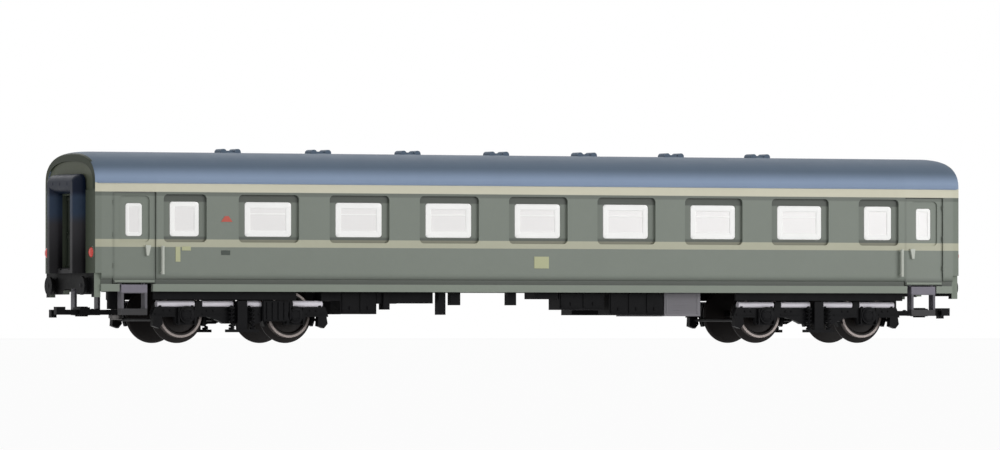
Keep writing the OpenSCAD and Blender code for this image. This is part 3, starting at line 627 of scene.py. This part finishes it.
# %% Assign
table = [
    (roof_paint, ["roof"]),
    (side_paint, ["side_wall_"]),
    (door_paint, ["door_front_", "door_rear_"]),
    (strip_paint, ["sole_bars"]),
    (end_paint, ["end_wall_"]),
    (end_door_shade, ["gangway_door_"]),
    (pane, ["glass_", "door_panes"]),
    (rubber, ["gangway_front", "gangway_rear"]),
    (lamp_red, ["tail_lamps"]),
    (rail_white, ["handrails", "door_handles"]),
    (frame_black, ["floor_pan", "buffers", "battery_boxes", "equipment_boxes", "brake_gear"]),
    (frame_black, ["air_reservoir"]),
    (beam_black, ["buffer_beam"]),
    (step_grey, ["entrance_steps"]),
    (box_grey, ["converter_boxes"]),
    (ballast_steel, ["ballast"]),
    (screw_steel, ["pivot_screws"]),
    (inside_beige, ["compartments"]),
    (seat_red, ["seats"]),
    (bogie_black, ["bogie_", "coupler_"]),
    (dark_steel, ["axle_"]),
]
finish_of = {}
for finish, starts in table:
    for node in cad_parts:
        if any(node.startswith(start) for start in starts):
            finish_of[node] = finish
for i, finish in enumerate(wheel_finishes):
    finish_of[f"wheels_{i + 1}"] = finish
for node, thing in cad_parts.items():
    if not thing.material_slots:
        thing.data.materials.append(None)
    for place in thing.material_slots:
        place.material = finish_of[node].material
print(len(finish_of), "of", len(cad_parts), "CAD pieces have a finish")


# %% [markdown]
# ## A kit for small pieces
# The added pieces are built from a few kinds of solid: blocks with eased edges, outlines pushed
# through, turned shapes, swept tubes and coils. Each adds itself to one mesh. A mesh built at the
# left side or the rear end can then be copied to the other side or end as its mirror image,
# because the coach is the same there.

# %% The shape kit
def circle(middle, first, second, radius, sides):
    """Points round a middle, from the first direction towards the second."""
    turns = [math.tau * k / sides for k in range(sides)]
    return [middle + (first * math.cos(t) + second * math.sin(t)) * radius for t in turns]


def barrel(half, radius, chamfer, tip):
    """The profile of a short round bar with narrowed ends."""
    return [(-half, tip), (chamfer - half, radius), (half - chamfer, radius), (half, tip)]


class Shape:
    """A mesh that grows from simple solids, in millimetres."""

    def __init__(self):
        self.mesh = bmesh.new()

    def block(self, a, b, ease):
        """A block between two corners, its edges eased with a small bevel."""
        a, b = Vector(map(min, a, b)), Vector(map(max, a, b))
        size = b - a
        place = Matrix.Translation((a + b) / 2) @ Matrix.Diagonal((*size, 1))
        made = bmesh.ops.create_cube(self.mesh, size=1, matrix=place)
        edges = list({edge for vert in made["verts"] for edge in vert.link_edges})
        ease = min(ease, min(size) * 0.4)
        bmesh.ops.bevel(self.mesh, geom=edges, offset=ease, segments=2, affect="EDGES")

    def loops(self, rings, closed=False):
        """Joins rings of points, each with as many points as the next."""
        made = [[self.mesh.verts.new(p) for p in ring] for ring in rings]
        count = len(made[0])
        pairs = list(zip(made, made[1:])) + ([(made[-1], made[0])] if closed else [])
        for one, two in pairs:
            for k in range(count):
                n = (k + 1) % count
                self.mesh.faces.new((one[k], one[n], two[n], two[k]))
        if not closed:
            self.mesh.faces.new(made[0])
            self.mesh.faces.new(list(reversed(made[-1])))

    def outline(self, points, y0, y1, ease=0.06):
        """An outline in X and Z pushed through from y0 to y1, with a chamfer on both faces."""
        middle = sum((Vector(p) for p in points), Vector((0, 0))) / len(points)
        spokes = [Vector(p) - middle for p in points]
        small = [middle + spoke * (1 - ease / spoke.length) for spoke in spokes]
        step = ease if y1 > y0 else -ease
        rings = [(small, y0), (points, y0 + step), (points, y1 - step), (small, y1)]
        self.loops([[(p[0], y, p[1]) for p in ring] for ring, y in rings])

    def turned(self, profile, middle, axis, sides):
        """A profile of (distance along, radius) turned about an axis through middle."""
        axis = Vector(axis).normalized()
        first = axis.orthogonal().normalized()
        second = axis.cross(first)
        places = [(Vector(middle) + axis * along, radius) for along, radius in profile]
        self.loops([circle(place, first, second, radius, sides) for place, radius in places])

    def tube(self, points, radius, sides=10):
        """A round bar swept along points."""
        points = [Vector(p) for p in points]
        rings = []
        side = None
        for i, p in enumerate(points):
            way = (points[min(i + 1, len(points) - 1)] - points[max(i - 1, 0)]).normalized()
            if side is None:
                side = way.orthogonal().normalized()
            side = (side - way * side.dot(way)).normalized()
            up = way.cross(side)
            rings.append(circle(p, side, up, radius, sides))
        self.loops(rings)

    def coil(self, x, y, z0, z1, radius, wire, turns):
        """An upright coil spring with closed ends."""
        points = []
        steps = int(turns * 14)
        for k in range(steps + 1):
            share = k / steps
            t = math.tau * turns * share
            eased = min(max((share * turns - 0.8) / (turns - 1.6), 0), 1)
            z = z0 + wire + (z1 - z0 - 2 * wire) * eased
            points.append((x + radius * math.cos(t), y + radius * math.sin(t), z))
        self.tube(points, wire, 8)

    def doubled(self, matrix):
        """Adds a copy of everything so far, moved by a matrix."""
        mesh = self.mesh
        made = bmesh.ops.duplicate(mesh, geom=mesh.verts[:] + mesh.edges[:] + mesh.faces[:])
        verts = [part for part in made["geom"] if isinstance(part, bmesh.types.BMVert)]
        bmesh.ops.transform(mesh, matrix=matrix, verts=verts)
        return self

    def mirrored(self, axis):
        """Adds the mirror image of everything so far, across the middle of the coach."""
        return self.doubled(Matrix.Diagonal([-1 if name == axis else 1 for name in "xyz"] + [1]))


def piece(name, shape, finish, body="coach"):
    """Turns a shape into an object that rides on a body, shaded smooth up to 35 degrees."""
    bmesh.ops.recalc_face_normals(shape.mesh, faces=shape.mesh.faces)
    bmesh.ops.scale(shape.mesh, vec=(MM, MM, MM), verts=shape.mesh.verts)
    mesh = bpy.data.meshes.new(name)
    shape.mesh.to_mesh(mesh)
    shape.mesh.free()
    for face in mesh.polygons:
        face.use_smooth = True
    mesh.set_sharp_from_angle(angle=math.radians(35))
    mesh.materials.append(finish.material)
    made = bpy.data.objects.new(name, mesh)
    scene.collection.objects.link(made)
    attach(made, body)
    print(f"{name}: {len(mesh.polygons)} faces on {body}")
    return made


print("kit ready")


# %% [markdown]
# ## Window frames
# Each pane has a white frame printed or set on its front. A ring with rounded corners and a
# sloping inner edge catches the light as the real frame does. The wide windows of such a coach
# drop in their frames, so a thin bar crosses each of them near the top.

# %% Window frames
def rounded(width, height, radius):
    """An outline of a rectangle with rounded corners, about its middle."""
    points = []
    steps = 6
    for cx, cz, start in ((1, 1, 0), (-1, 1, 90), (-1, -1, 180), (1, -1, 270)):
        for k in range(steps + 1):
            t = math.radians(start + 90 * k / steps)
            points.append((cx * (width / 2 - radius) + radius * math.cos(t),
                           cz * (height / 2 - radius) + radius * math.sin(t)))
    return points


def window_ring(shape, x, z, width, height, band, face, back, lean=0.0):
    """A flat ring with its face at y = face, and a sloping inner edge that ends at back. Lean
    turns it with the drawn-in ends of the body."""
    slope = 0.22
    rings = []
    for inset, y in ((0, back), (0, face + 0.03), (0.04, face), (band - slope, face), (band, back)):
        outline = rounded(width - 2 * inset, height - 2 * inset, max(0.5 - inset * 0.6, 0.12))
        rings.append([(x + px, y + lean * px, z + pz) for px, pz in outline])
    shape.loops(rings, closed=True)


window_pitch, window_count = 17.5, 7
window_xs = [(i - (window_count - 1) / 2) * window_pitch for i in range(window_count)]
small_step = 16                     # from the last wide window to the small one beyond it
small_x = window_xs[-1] + small_step
pane_low, pane_high = eaves_z - 9.3, eaves_z - 3.2
pane_z, pane_height = (pane_low + pane_high) / 2, pane_high - pane_low
wide, narrow, door_wide = 9, 5.6, 3.1
pane_face = span("glass_left")[0].y
ring_face = pane_face - 0.13
frames = Shape()
for x in window_xs:
    window_ring(frames, x, pane_z, wide - 0.1, pane_height - 0.1, 1.15, ring_face, pane_face + 0.05)
    bar_z = pane_low + pane_height * 0.66
    bar = wide / 2 - 0.9
    frames.block((x - bar, ring_face + 0.03, bar_z - 0.1), (x + bar, pane_face + 0.05, bar_z + 0.1), 0.03)
for x in (-small_x, small_x):
    window_ring(frames, x, pane_z, narrow - 0.1, pane_height - 0.1, 1, ring_face, pane_face + 0.05)
frames.mirrored("y")
piece("window_frames", frames, frame_white)

# %% [markdown]
# The door panes sit in doors that follow the drawn-in ends, so their frames lean by the same
# slope. They are built for one door and mirrored twice.

# %% Door window frames
slope = (wall_half - end_half) / (half_len - taper_x)
door_pane_height = pane_height - 0.3
door_pane_z = pane_low + door_pane_height / 2
door_sunk, pane_sunk = 0.25, 0.325
door_pane_face = -face_y(door_mid) + door_sunk + pane_sunk
door_frames = Shape()
window_ring(door_frames, door_mid, door_pane_z, door_wide - 0.1, door_pane_height - 0.1, 0.7,
            door_pane_face - 0.12, door_pane_face + 0.05, slope)
door_frames.mirrored("x").mirrored("y")
piece("door_window_frames", door_frames, frame_white)

# %% [markdown]
# ## Roof edge and doors
# A rain gutter runs along each eave. It is a thin rolled edge, drawn in with the body at both
# ends. The doors hang on three small barrels each, and have a threshold plate.

# %% Gutters
gutters = Shape()
gutter_r = 0.13
roof_end = span("roof")[1].x - 0.1
stations = [-roof_end, -taper_x, taper_x, roof_end]
gutters.tube([(x, -face_y(x) - 0.04, eaves_z + 0.06) for x in stations], gutter_r)
gutters.mirrored("y")
piece("rain_gutters", gutters, roof_paint)

# %% Door furniture
hinges = Shape()
x = door_high.x + 0.05
for z in (wall_low.z + 3.2, wall_low.z + 8.6, eaves_z - 3.4):
    hinges.turned(barrel(0.45, 0.09, 0.03, 0.02), (x, -face_y(x), z), (0, 0, 1), 12)
hinges.mirrored("x").mirrored("y")
piece("door_hinges", hinges, door_paint)

sills = Shape()
sill_z = door_low.z + 0.35
profile = [(0.03, -0.2), (-0.16, -0.2), (-0.2, 0), (-0.16, 0.14), (0.03, 0.2)]
rings = []
for x in (door_low.x + 0.2, door_high.x - 0.2):
    y = -face_y(x) + door_sunk
    rings.append([(x, y + dy, sill_z + dz) for dy, dz in profile])
sills.loops(rings)
sills.mirrored("x").mirrored("y")
piece("door_sills", sills, strip_paint)

# %% [markdown]
# ## Blank plates
# The real coach carries small signs: a red one and a dark one near the front, a pale one by the
# front door and one in the middle. Here they are plain patches of the same colours, with nothing
# on them, on both sides of the body.

# %% Plates
sign_red = sprayed("sign_red", tone(196, 92, 78))
sign_cream = sprayed("sign_cream", tone(186, 188, 150))
sign_dark = sprayed("sign_dark", tone(72, 80, 74))
plate_lift = 0.06


def plate(shape, x, drop, foot, top, height):
    """A thin plate on the left side's face, with its middle at x and this far below the eaves. Foot
    and top are its widths."""
    right = [(foot / 2, -height / 2), (top / 2, height / 2)]
    left = [(-px, pz) for px, pz in reversed(right)]
    outline = [(x + px, eaves_z - drop + pz) for px, pz in right + left]
    shape.outline(outline, -wall_half - plate_lift, -wall_half + 0.05, 0.02)


plates = (
    ("red_plates", sign_red, "lamp_red", [(-60.6, 6.2, 2.2, 0.7, 1)]),
    ("pale_plates", sign_cream, "rail_white",
     [(0.6, 13.6, 2.9, 2.9, 2.1), (-69.9, 12.4, 0.9, 0.9, 2.6), (-68.3, 11.4, 1.7, 1.7, 0.7)]),
    ("dark_plates", sign_dark, "end_green", [(-60.8, 12.1, 1.7, 1.7, 0.8)]),
)
half_turn = Matrix.Rotation(math.pi, 4, "Z")    # brings them to the right side the same way round
for name, finish, slot, sizes in plates:
    group = Shape()
    for size in sizes:
        plate(group, *size)
    piece(name, group.doubled(half_turn), finish)

# %% [markdown]
# ## Roof ventilators
# Under each ventilator lies a thin base plate with rounded corners, bedded in the crown of the
# roof.

# %% Ventilator bases
vents = Shape()
vent_low, vent_high = span("roof_vents")
crown_z = span("roof")[1].z
vent_len, vent_w = 3.9, vent_high.y - vent_low.y + 0.5
first_vent = vent_low.x + vent_len / 2
for i in range(window_count):
    x = first_vent + i * window_pitch
    rings = []
    for inset, z in ((0, crown_z - 0.35), (0, crown_z + 0.02), (0.12, crown_z + 0.1)):
        outline = rounded(vent_len + 0.1 - 2 * inset, vent_w - 2 * inset, 0.5)
        rings.append([(x + px, py, z) for px, py in outline])
    vents.loops(rings)
piece("vent_bases", vents, roof_paint)

# %% [markdown]
# ## Gangways
# Two upright rubber tubes and one across the top press against the next coach. They are made of
# short lengths, so a fine joint shows every few millimetres. Between them is the end door with
# its raised frame and handle, and a hinged tread plate lies folded up at its foot.

# %% Gangway joints
bulge_r = 1.7
bulge_y = rubber_high.y - bulge_r
bulge_x = rubber_high.x - bulge_r
rib_r = bulge_r + 0.04              # the joints stand a hair proud
joints = Shape()


def half_ring(shape, middle, one, two, radius, thick):
    """A thin rib over the outer half of a tube, from direction one round to direction two."""
    middle, one, two = Vector(middle), Vector(one), Vector(two)
    along = one.cross(two)
    rings = []
    for k in range(17):
        t = math.pi * (0.14 + 0.72 * k / 16)
        way = one * math.cos(t) + two * math.sin(t)
        foot, top = middle + way * (radius - 0.1), middle + way * radius
        half = along * thick / 2
        rings.append([foot - half * 2, top - half, top + half, foot + half * 2])
    shape.loops(rings)


z = rubber_low.z + 2
while z < rubber_high.z - bulge_r - 0.5:
    for s in (-1, 1):
        half_ring(joints, (bulge_x, s * bulge_y, z), (0, 1, 0), (1, 0, 0), rib_r, 0.07)
    z += 2.9
for y in (-3.2, 0, 3.2):
    half_ring(joints, (bulge_x, y, rubber_high.z - bulge_r), (0, 0, 1), (1, 0, 0), rib_r, 0.07)
joints.mirrored("x")
piece("gangway_joints", joints, rubber)

# %% End doors
inner_low, inner_high = span("gangway_door_rear")
face_x, door_y = inner_high.x, inner_high.y
panels = Shape()
for s in (-1, 1):
    low = (face_x - 0.05, s * (door_y - 0.35), inner_low.z + 0.3)
    high = (face_x + 0.14, s * (door_y - 0.85), inner_high.z - 0.3)
    panels.block(low, high, 0.05)
for z in (inner_low.z + 0.3, inner_low.z + 5.2, inner_high.z - 0.8):
    panels.block((face_x - 0.05, -door_y + 0.6, z), (face_x + 0.14, door_y - 0.6, z + 0.5), 0.05)
knob_y, knob_z = door_y - 0.5, inner_low.z + 6.1
panels.block((face_x, knob_y - 0.3, knob_z), (face_x + 0.32, knob_y, knob_z + 0.3), 0.06)
panels.block((face_x + 0.2, knob_y - 1.2, knob_z + 0.05), (face_x + 0.32, knob_y, knob_z + 0.25), 0.05)
panels.mirrored("x")
piece("end_door_panels", panels, end_door_shade)

treads = Shape()
tread_x, tread_z = half_len + 1, rubber_low.z + 0.75
treads.block((half_len + 0.05, -3.2, tread_z - 0.05), (tread_x - 0.1, 3.2, tread_z + 0.16), 0.05)
for i in range(7):
    y = (i - 3) * 0.9
    low, high = (half_len + 0.15, y - 0.12, tread_z + 0.1), (tread_x - 0.25, y + 0.12, tread_z + 0.24)
    treads.block(low, high, 0.04)
for y in (-2.2, 2.2):
    treads.turned(barrel(0.5, 0.16, 0.04, 0.05), (tread_x, y, tread_z - 0.05), (0, 1, 0), 14)
treads.mirrored("x")
piece("gangway_treads", treads, frame_black)

# %% [markdown]
# ## The end walls
# Each lamp has a domed lens in a thin turned rim, and behind each buffer is a flange with four
# bolts.

# %% Lamps and buffer flanges
lamp_r, lens_r, lamp_sides = 0.8, 0.9, 28
lamp_y, lamp_z = span("tail_lamps")[1].y - lamp_r, centre("tail_lamps").z
out, left, up = Vector((1, 0, 0)), Vector((0, 1, 0)), Vector((0, 0, 1))
rim = [(-0.05, lens_r), (-0.05, lens_r + 0.18), (0.14, lens_r + 0.14), (0.18, lens_r)]
dome = [(0, lens_r)]
for k in range(9):
    t = math.radians(10 * k)
    dome.append((0.12 + 0.45 * math.sin(t), lens_r * math.cos(t)))
rims, lenses = Shape(), Shape()
for s in (-1, 1):
    middle = Vector((half_len, s * lamp_y, lamp_z))
    rings = [circle(middle + out * along, left, up, radius, lamp_sides) for along, radius in rim]
    rims.loops(rings, closed=True)
    lenses.turned(dome, middle, out, lamp_sides)
rims.mirrored("x")
piece("lamp_rims", rims, end_paint)
lenses.mirrored("x")
piece("lamp_lenses", lenses, lamp_red)

buffer_high, buffer_r = span("buffers")[1], 1.65
buffer_y, buffer_z = buffer_high.y - buffer_r, centre("buffers").z
flange_bolt = [(0.1, 0.17), (0.22, 0.17), (0.26, 0.1)]
flanges = Shape()
for y in (-buffer_y, buffer_y):
    low, high = (half_len - 0.05, y - 1.55, buffer_z - 1.4), (half_len + 0.14, y + 1.55, buffer_z + 1.4)
    flanges.block(low, high, 0.05)
    for dy in (-1.25, 1.25):
        for dz in (-1.1, 1.1):
            flanges.turned(flange_bolt, (half_len, y + dy, buffer_z + dz), out, 12)
    flanges.turned([(0.02, 0.5), (0.06, 0.3), (0.1, 0.05)], (buffer_high.x, y, buffer_z), out, 20)
flanges.mirrored("x")
piece("buffer_flanges", flanges, frame_black)

# %% [markdown]
# ## Under the floor
# The boxes have lids and doors on their outer faces: raised panels with a hinge above and a latch
# below on the batteries and the other gear, and louvres on the grey converter. Each panel is a
# thin plate bedded in the box. A pair of air pipes runs along under the floor on clips.

# %% Lids and latches
gear_y = -span("battery_boxes")[1].y    # outer face of the boxes, at the left side
lid_top = span("sole_bars")[0].z - 0.1
battery_low, battery_high = span("battery_boxes")
equipment_low, equipment_high = span("equipment_boxes")
battery_len, long_len, short_len = 7, 10.8, 8.9
short_low = equipment_low.z + 0.9   # the shorter equipment box is also the shallower one


def lids(shape, x0, length, z0, count):
    """Equal lids side by side on a box's outer face at the left side of the coach."""
    width = length / count
    for i in range(count):
        a, b = x0 + i * width + 0.25, x0 + (i + 1) * width - 0.25
        shape.block((a, gear_y - 0.14, z0 + 0.3), (b, gear_y + 0.05, lid_top), 0.06)
        shape.block((a + 0.15, gear_y - 0.22, z0 + 0.5), (b - 0.15, gear_y - 0.1, z0 + 0.75), 0.05)
        for x in (a + 0.5, b - 0.5):
            hinge = barrel(0.3, 0.12, 0.03, 0.04)
            shape.turned(hinge, (x, gear_y - 0.14, lid_top - 0.05), (1, 0, 0), 10)
        x = (a + b) / 2
        shape.block((x - 0.14, gear_y - 0.3, z0 + 0.8), (x + 0.14, gear_y - 0.1, z0 + 1.4), 0.05)


gear = Shape()
lids(gear, battery_high.x - battery_len, battery_len, battery_low.z, 2)
lids(gear, equipment_high.x - long_len, long_len, equipment_low.z, 3)
gear.mirrored("y")
lids(gear, equipment_low.x, short_len, short_low, 2)
piece("box_lids", gear, frame_black)

louvres = Shape()
low, high = span("converter_boxes")
for x in (low.x + 0.3, high.x - 0.7):
    louvres.block((x, gear_y - 0.12, low.z + 0.4), (x + 0.4, gear_y + 0.05, lid_top), 0.05)
for i in range(8):
    z = low.z + 0.6 + i * 0.46
    louvres.block((low.x + 0.6, gear_y - 0.16, z), (high.x - 0.6, gear_y + 0.05, z + 0.2), 0.05)
louvres.mirrored("y")
piece("converter_louvres", louvres, box_grey)

# %% Pipes and bearers
under = Shape()
deck_z = span("floor_pan")[1].z - 1.2
pipe_z = deck_z - 0.75
for y in (3.6, 4.5):
    run = [(-39.5, y), (-12, y), (-10.5, y + 0.4), (39.5, y + 0.4)]
    under.tube([(px, py, pipe_z) for px, py in run], 0.24, 12)
for x in range(-36, 37, 8):
    under.block((x - 0.3, 3.2, pipe_z - 0.1), (x + 0.3, 5.3, deck_z + 0.05), 0.06)
under.mirrored("y")
for x in (-27, -12, 1, 14.5, 36):
    under.block((x - 0.4, -9.6, deck_z - 1.1), (x + 0.4, 9.6, deck_z + 0.05), 0.1)
piece("pipes_and_bearers", under, frame_black)

# %% [markdown]
# ## Bogies
# The two bogies are alike, so each piece is built about the pivot and made twice. Real coil
# springs stand in place of the plain cylinders, each between two cups. The axle boxes get round
# lids with bolts, and the frames get bolt heads. Long pale rods run above the frames between
# clips. Between the wheels hang the brake beams, with a shoe a little off every tread.

# %% Springs
pivots = {"front": -(axle_xs[2] + axle_xs[3]) / 2, "rear": (axle_xs[2] + axle_xs[3]) / 2}
half_base = (axle_xs[3] - axle_xs[2]) / 2
frame_high = span("bogie_frame_rear")[1]
frame_face = frame_high.y - 0.6     # outer face of the side frames, behind the axle boxes
spring_low, spring_high = span("bogie_springs_rear")
spring_y = (spring_high.y + frame_face + 0.1) / 2


def on_bogies(name, build, finish=bogie_black):
    """Builds the same piece on both bogies."""
    made = []
    for end, x in pivots.items():
        shape = Shape()
        build(shape)
        shape.mirrored("y")
        bmesh.ops.translate(shape.mesh, vec=(x, 0, 0), verts=shape.mesh.verts)
        made.append(piece(f"{name}_{end}", shape, finish, f"{end}_bogie"))
    return made


def springs(shape):
    cup = [(0, 0.3), (0.02, 0.55), (0.14, 0.55), (0.16, 0.2)]
    pin = [(0.05, 0.16), (spring_high.z - spring_low.z - 0.05, 0.16)]
    for x in (-2, 2):
        shape.coil(x, -spring_y, spring_low.z + 0.12, spring_high.z - 0.12, 0.42, 0.125, 6.5)
        for z, way in ((spring_low.z, 1), (spring_high.z, -1)):
            shape.turned(cup, (x, -spring_y, z), (0, 0, way), 20)
        shape.turned(pin, (x, -spring_y, spring_low.z), (0, 0, 1), 12)


for coil, end in zip(on_bogies("coil_springs", springs), pivots):
    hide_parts(f"bogie_springs_{end}")


# %% Axle boxes and frames
def box_lids(shape):
    dish = [(-0.05, 1.2), (0.12, 1.2), (0.18, 1.1), (0.2, 0.75), (0.12, 0.65), (0.12, 0.1)]
    for x in (-half_base, half_base):
        shape.turned(dish, (x, -frame_high.y, axle_z), (0, -1, 0), 32)
        for k in range(4):
            t = math.radians(45 + 90 * k)
            bolt = (x + 0.93 * math.cos(t), -frame_high.y, axle_z + 0.93 * math.sin(t))
            shape.turned([(0.15, 0.15), (0.26, 0.15), (0.3, 0.08)], bolt, (0, -1, 0), 10)
        for guide in (x - 1.55, x + 1.55):
            low = (guide - 0.18, -frame_high.y + 0.1, axle_z - 1.6)
            high = (guide + 0.18, -frame_face + 0.05, axle_z + 1.3)
            shape.block(low, high, 0.07)


on_bogies("axle_box_lids", box_lids)


def frame_fittings(shape):
    rivet = [(-0.05, 0.2), (0.1, 0.2), (0.16, 0.1)]
    for x in (-14.6, -13.4, -6.4, -5.2, 5.2, 6.4, 13.4, 14.6):
        shape.turned(rivet, (x, -frame_face, axle_z + 0.7), (0, -1, 0), 10)
    for x0, x1 in ((-16.4, -12.6), (-7.4, -3.4), (3.4, 7.4), (12.6, 16.4)):
        shape.block((x0, -frame_face - 0.14, axle_z - 0.05), (x1, -frame_face + 0.05, axle_z + 0.22), 0.05)


on_bogies("frame_fittings", frame_fittings)


# %% Rods over the frames
rod_y = frame_face - 0.6
rod_z, rod_r = axle_z + 1.84, 0.6


def rods(shape):
    for s in (-1, 1):
        for x0, x1 in ((1.3, 7.3), (8.7, 15.9)):
            ends = [(0, 0.3), (0.06, rod_r), (x1 - x0 - 0.06, rod_r), (x1 - x0, 0.3)]
            shape.turned(ends, (s * x0, -rod_y, rod_z), (s, 0, 0), 20)


on_bogies("frame_rods", rods, rod_grey)


def clips(shape):
    low_z, high_z = rod_z - rod_r - 0.1, rod_z - 0.1
    for x in (-1.7, -9.2, -15.3, 1.7, 9.2, 15.3):
        shape.block((x - 0.3, -rod_y - 0.55, low_z), (x + 0.3, -rod_y + 0.55, high_z), 0.08)


on_bogies("rod_clips", clips)


# %% Brakes
def brakes(shape):
    shoe = ((4.5, -6), (4.5, -7.1), (5.1, -7.1), (5.1, -6))    # distance from the axle, and y
    for s in (-1, 1):
        for x in (half_base - 5.3, half_base + 5.3):
            shape.tube([(s * x, -rod_y, axle_z - 0.9), (s * x, 0, axle_z - 0.9)], 0.28, 12)
        for way in (-1, 1):
            rings = []
            for k in range(7):
                t = math.radians(-24 + 8 * k)
                ring = []
                for r, y in shoe:
                    ring.append((s * half_base + way * r * math.cos(t), y, axle_z + r * math.sin(t)))
                rings.append(ring)
            shape.loops(rings)


on_bogies("brake_shoes", brakes)

# %% [markdown]
# Four screws hold the bogies and the couplers from below. Two half discs on each head leave the
# slot for a screwdriver between them.

# %% Screw heads
heads = Shape()
head_low, head_high = span("pivot_screws")
coupler_pin_r = 1.3
slot_half = 12                      # half the angle that the slot takes from a disc's edge, in degrees
discs = [(pivots["rear"], head_high.y - 0.3), (head_high.x - coupler_pin_r, coupler_pin_r - 0.2)]
for middle_x, r in discs:
    for way in (-1, 1):
        turns = [math.radians(slot_half + (180 - 2 * slot_half) * k / 16) for k in range(17)]
        points = [(middle_x + r * math.cos(t), way * r * math.sin(t)) for t in turns]
        heads.outline(points, -head_low.z - 0.1, 0.22 - head_low.z)
bmesh.ops.rotate(heads.mesh, matrix=Matrix.Rotation(math.radians(-90), 3, "X"), verts=heads.mesh.verts)
heads.mirrored("x")
piece("screw_heads", heads, screw_steel)

# %% [markdown]
# One axle of the front bogie drives a generator, a ribbed black casing in front of the frame.

# %% Generator
generator = Shape()
x0, x1 = pivots["front"] + 4, pivots["front"] + 9.9
casing_y = -frame_face - 0.6
generator.block((x0, -frame_face + 0.05, axle_z - 1.2), (x1, casing_y, axle_z + 2.5), 0.15)
for i in range(5):
    x = x0 + 0.7 + i * 1.1
    generator.block((x, casing_y + 0.1, axle_z - 0.9), (x + 0.35, casing_y - 0.18, axle_z + 2.2), 0.08)
piece("generator", generator, bogie_black, "front_bogie")

# %% [markdown]
# ## Couplers
# Each coupler's shank is held in its pocket by a clip with two rivets.

# %% Coupler clips
shank_top = axle_z + 0.85
for end, way in (("front", -1), ("rear", 1)):
    clip = Shape()
    clip.block((half_len - 2.9, -1.2, shank_top + 0.3), (half_len - 1.4, 1.2, shank_top + 0.55), 0.08)
    for x in (half_len - 5.2, half_len - 4.2):
        clip.turned([(-0.05, 0.35), (0.1, 0.35), (0.18, 0.15)], (x, 0, shank_top), (0, 0, 1), 16)
    clip.block((half_len - 3.3, -0.35, axle_z - 0.35), (half_len - 1, 0.35, axle_z - 0.1), 0.08)
    if way < 0:
        bmesh.ops.scale(clip.mesh, vec=(-1, 1, 1), verts=clip.mesh.verts)
    piece(f"coupler_clip_{end}", clip, bogie_black, f"{end}_coupler")

# %% [markdown]
# ## Sizes
# The whole model, with its small pieces, is a little larger than the CAD part. Both boxes are
# worked out, and how much the model has grown at each side is printed.

# %% Sizes
full_low, full_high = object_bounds()
sizes = {"cad": [list(cad_low), list(cad_high)], "scene": [list(full_low), list(full_high)]}
for side, grown in (("low", cad_low - full_low), ("high", full_high - cad_high)):
    print("grown at the", side, "side, in mm:", [round(v / MM, 2) for v in grown])
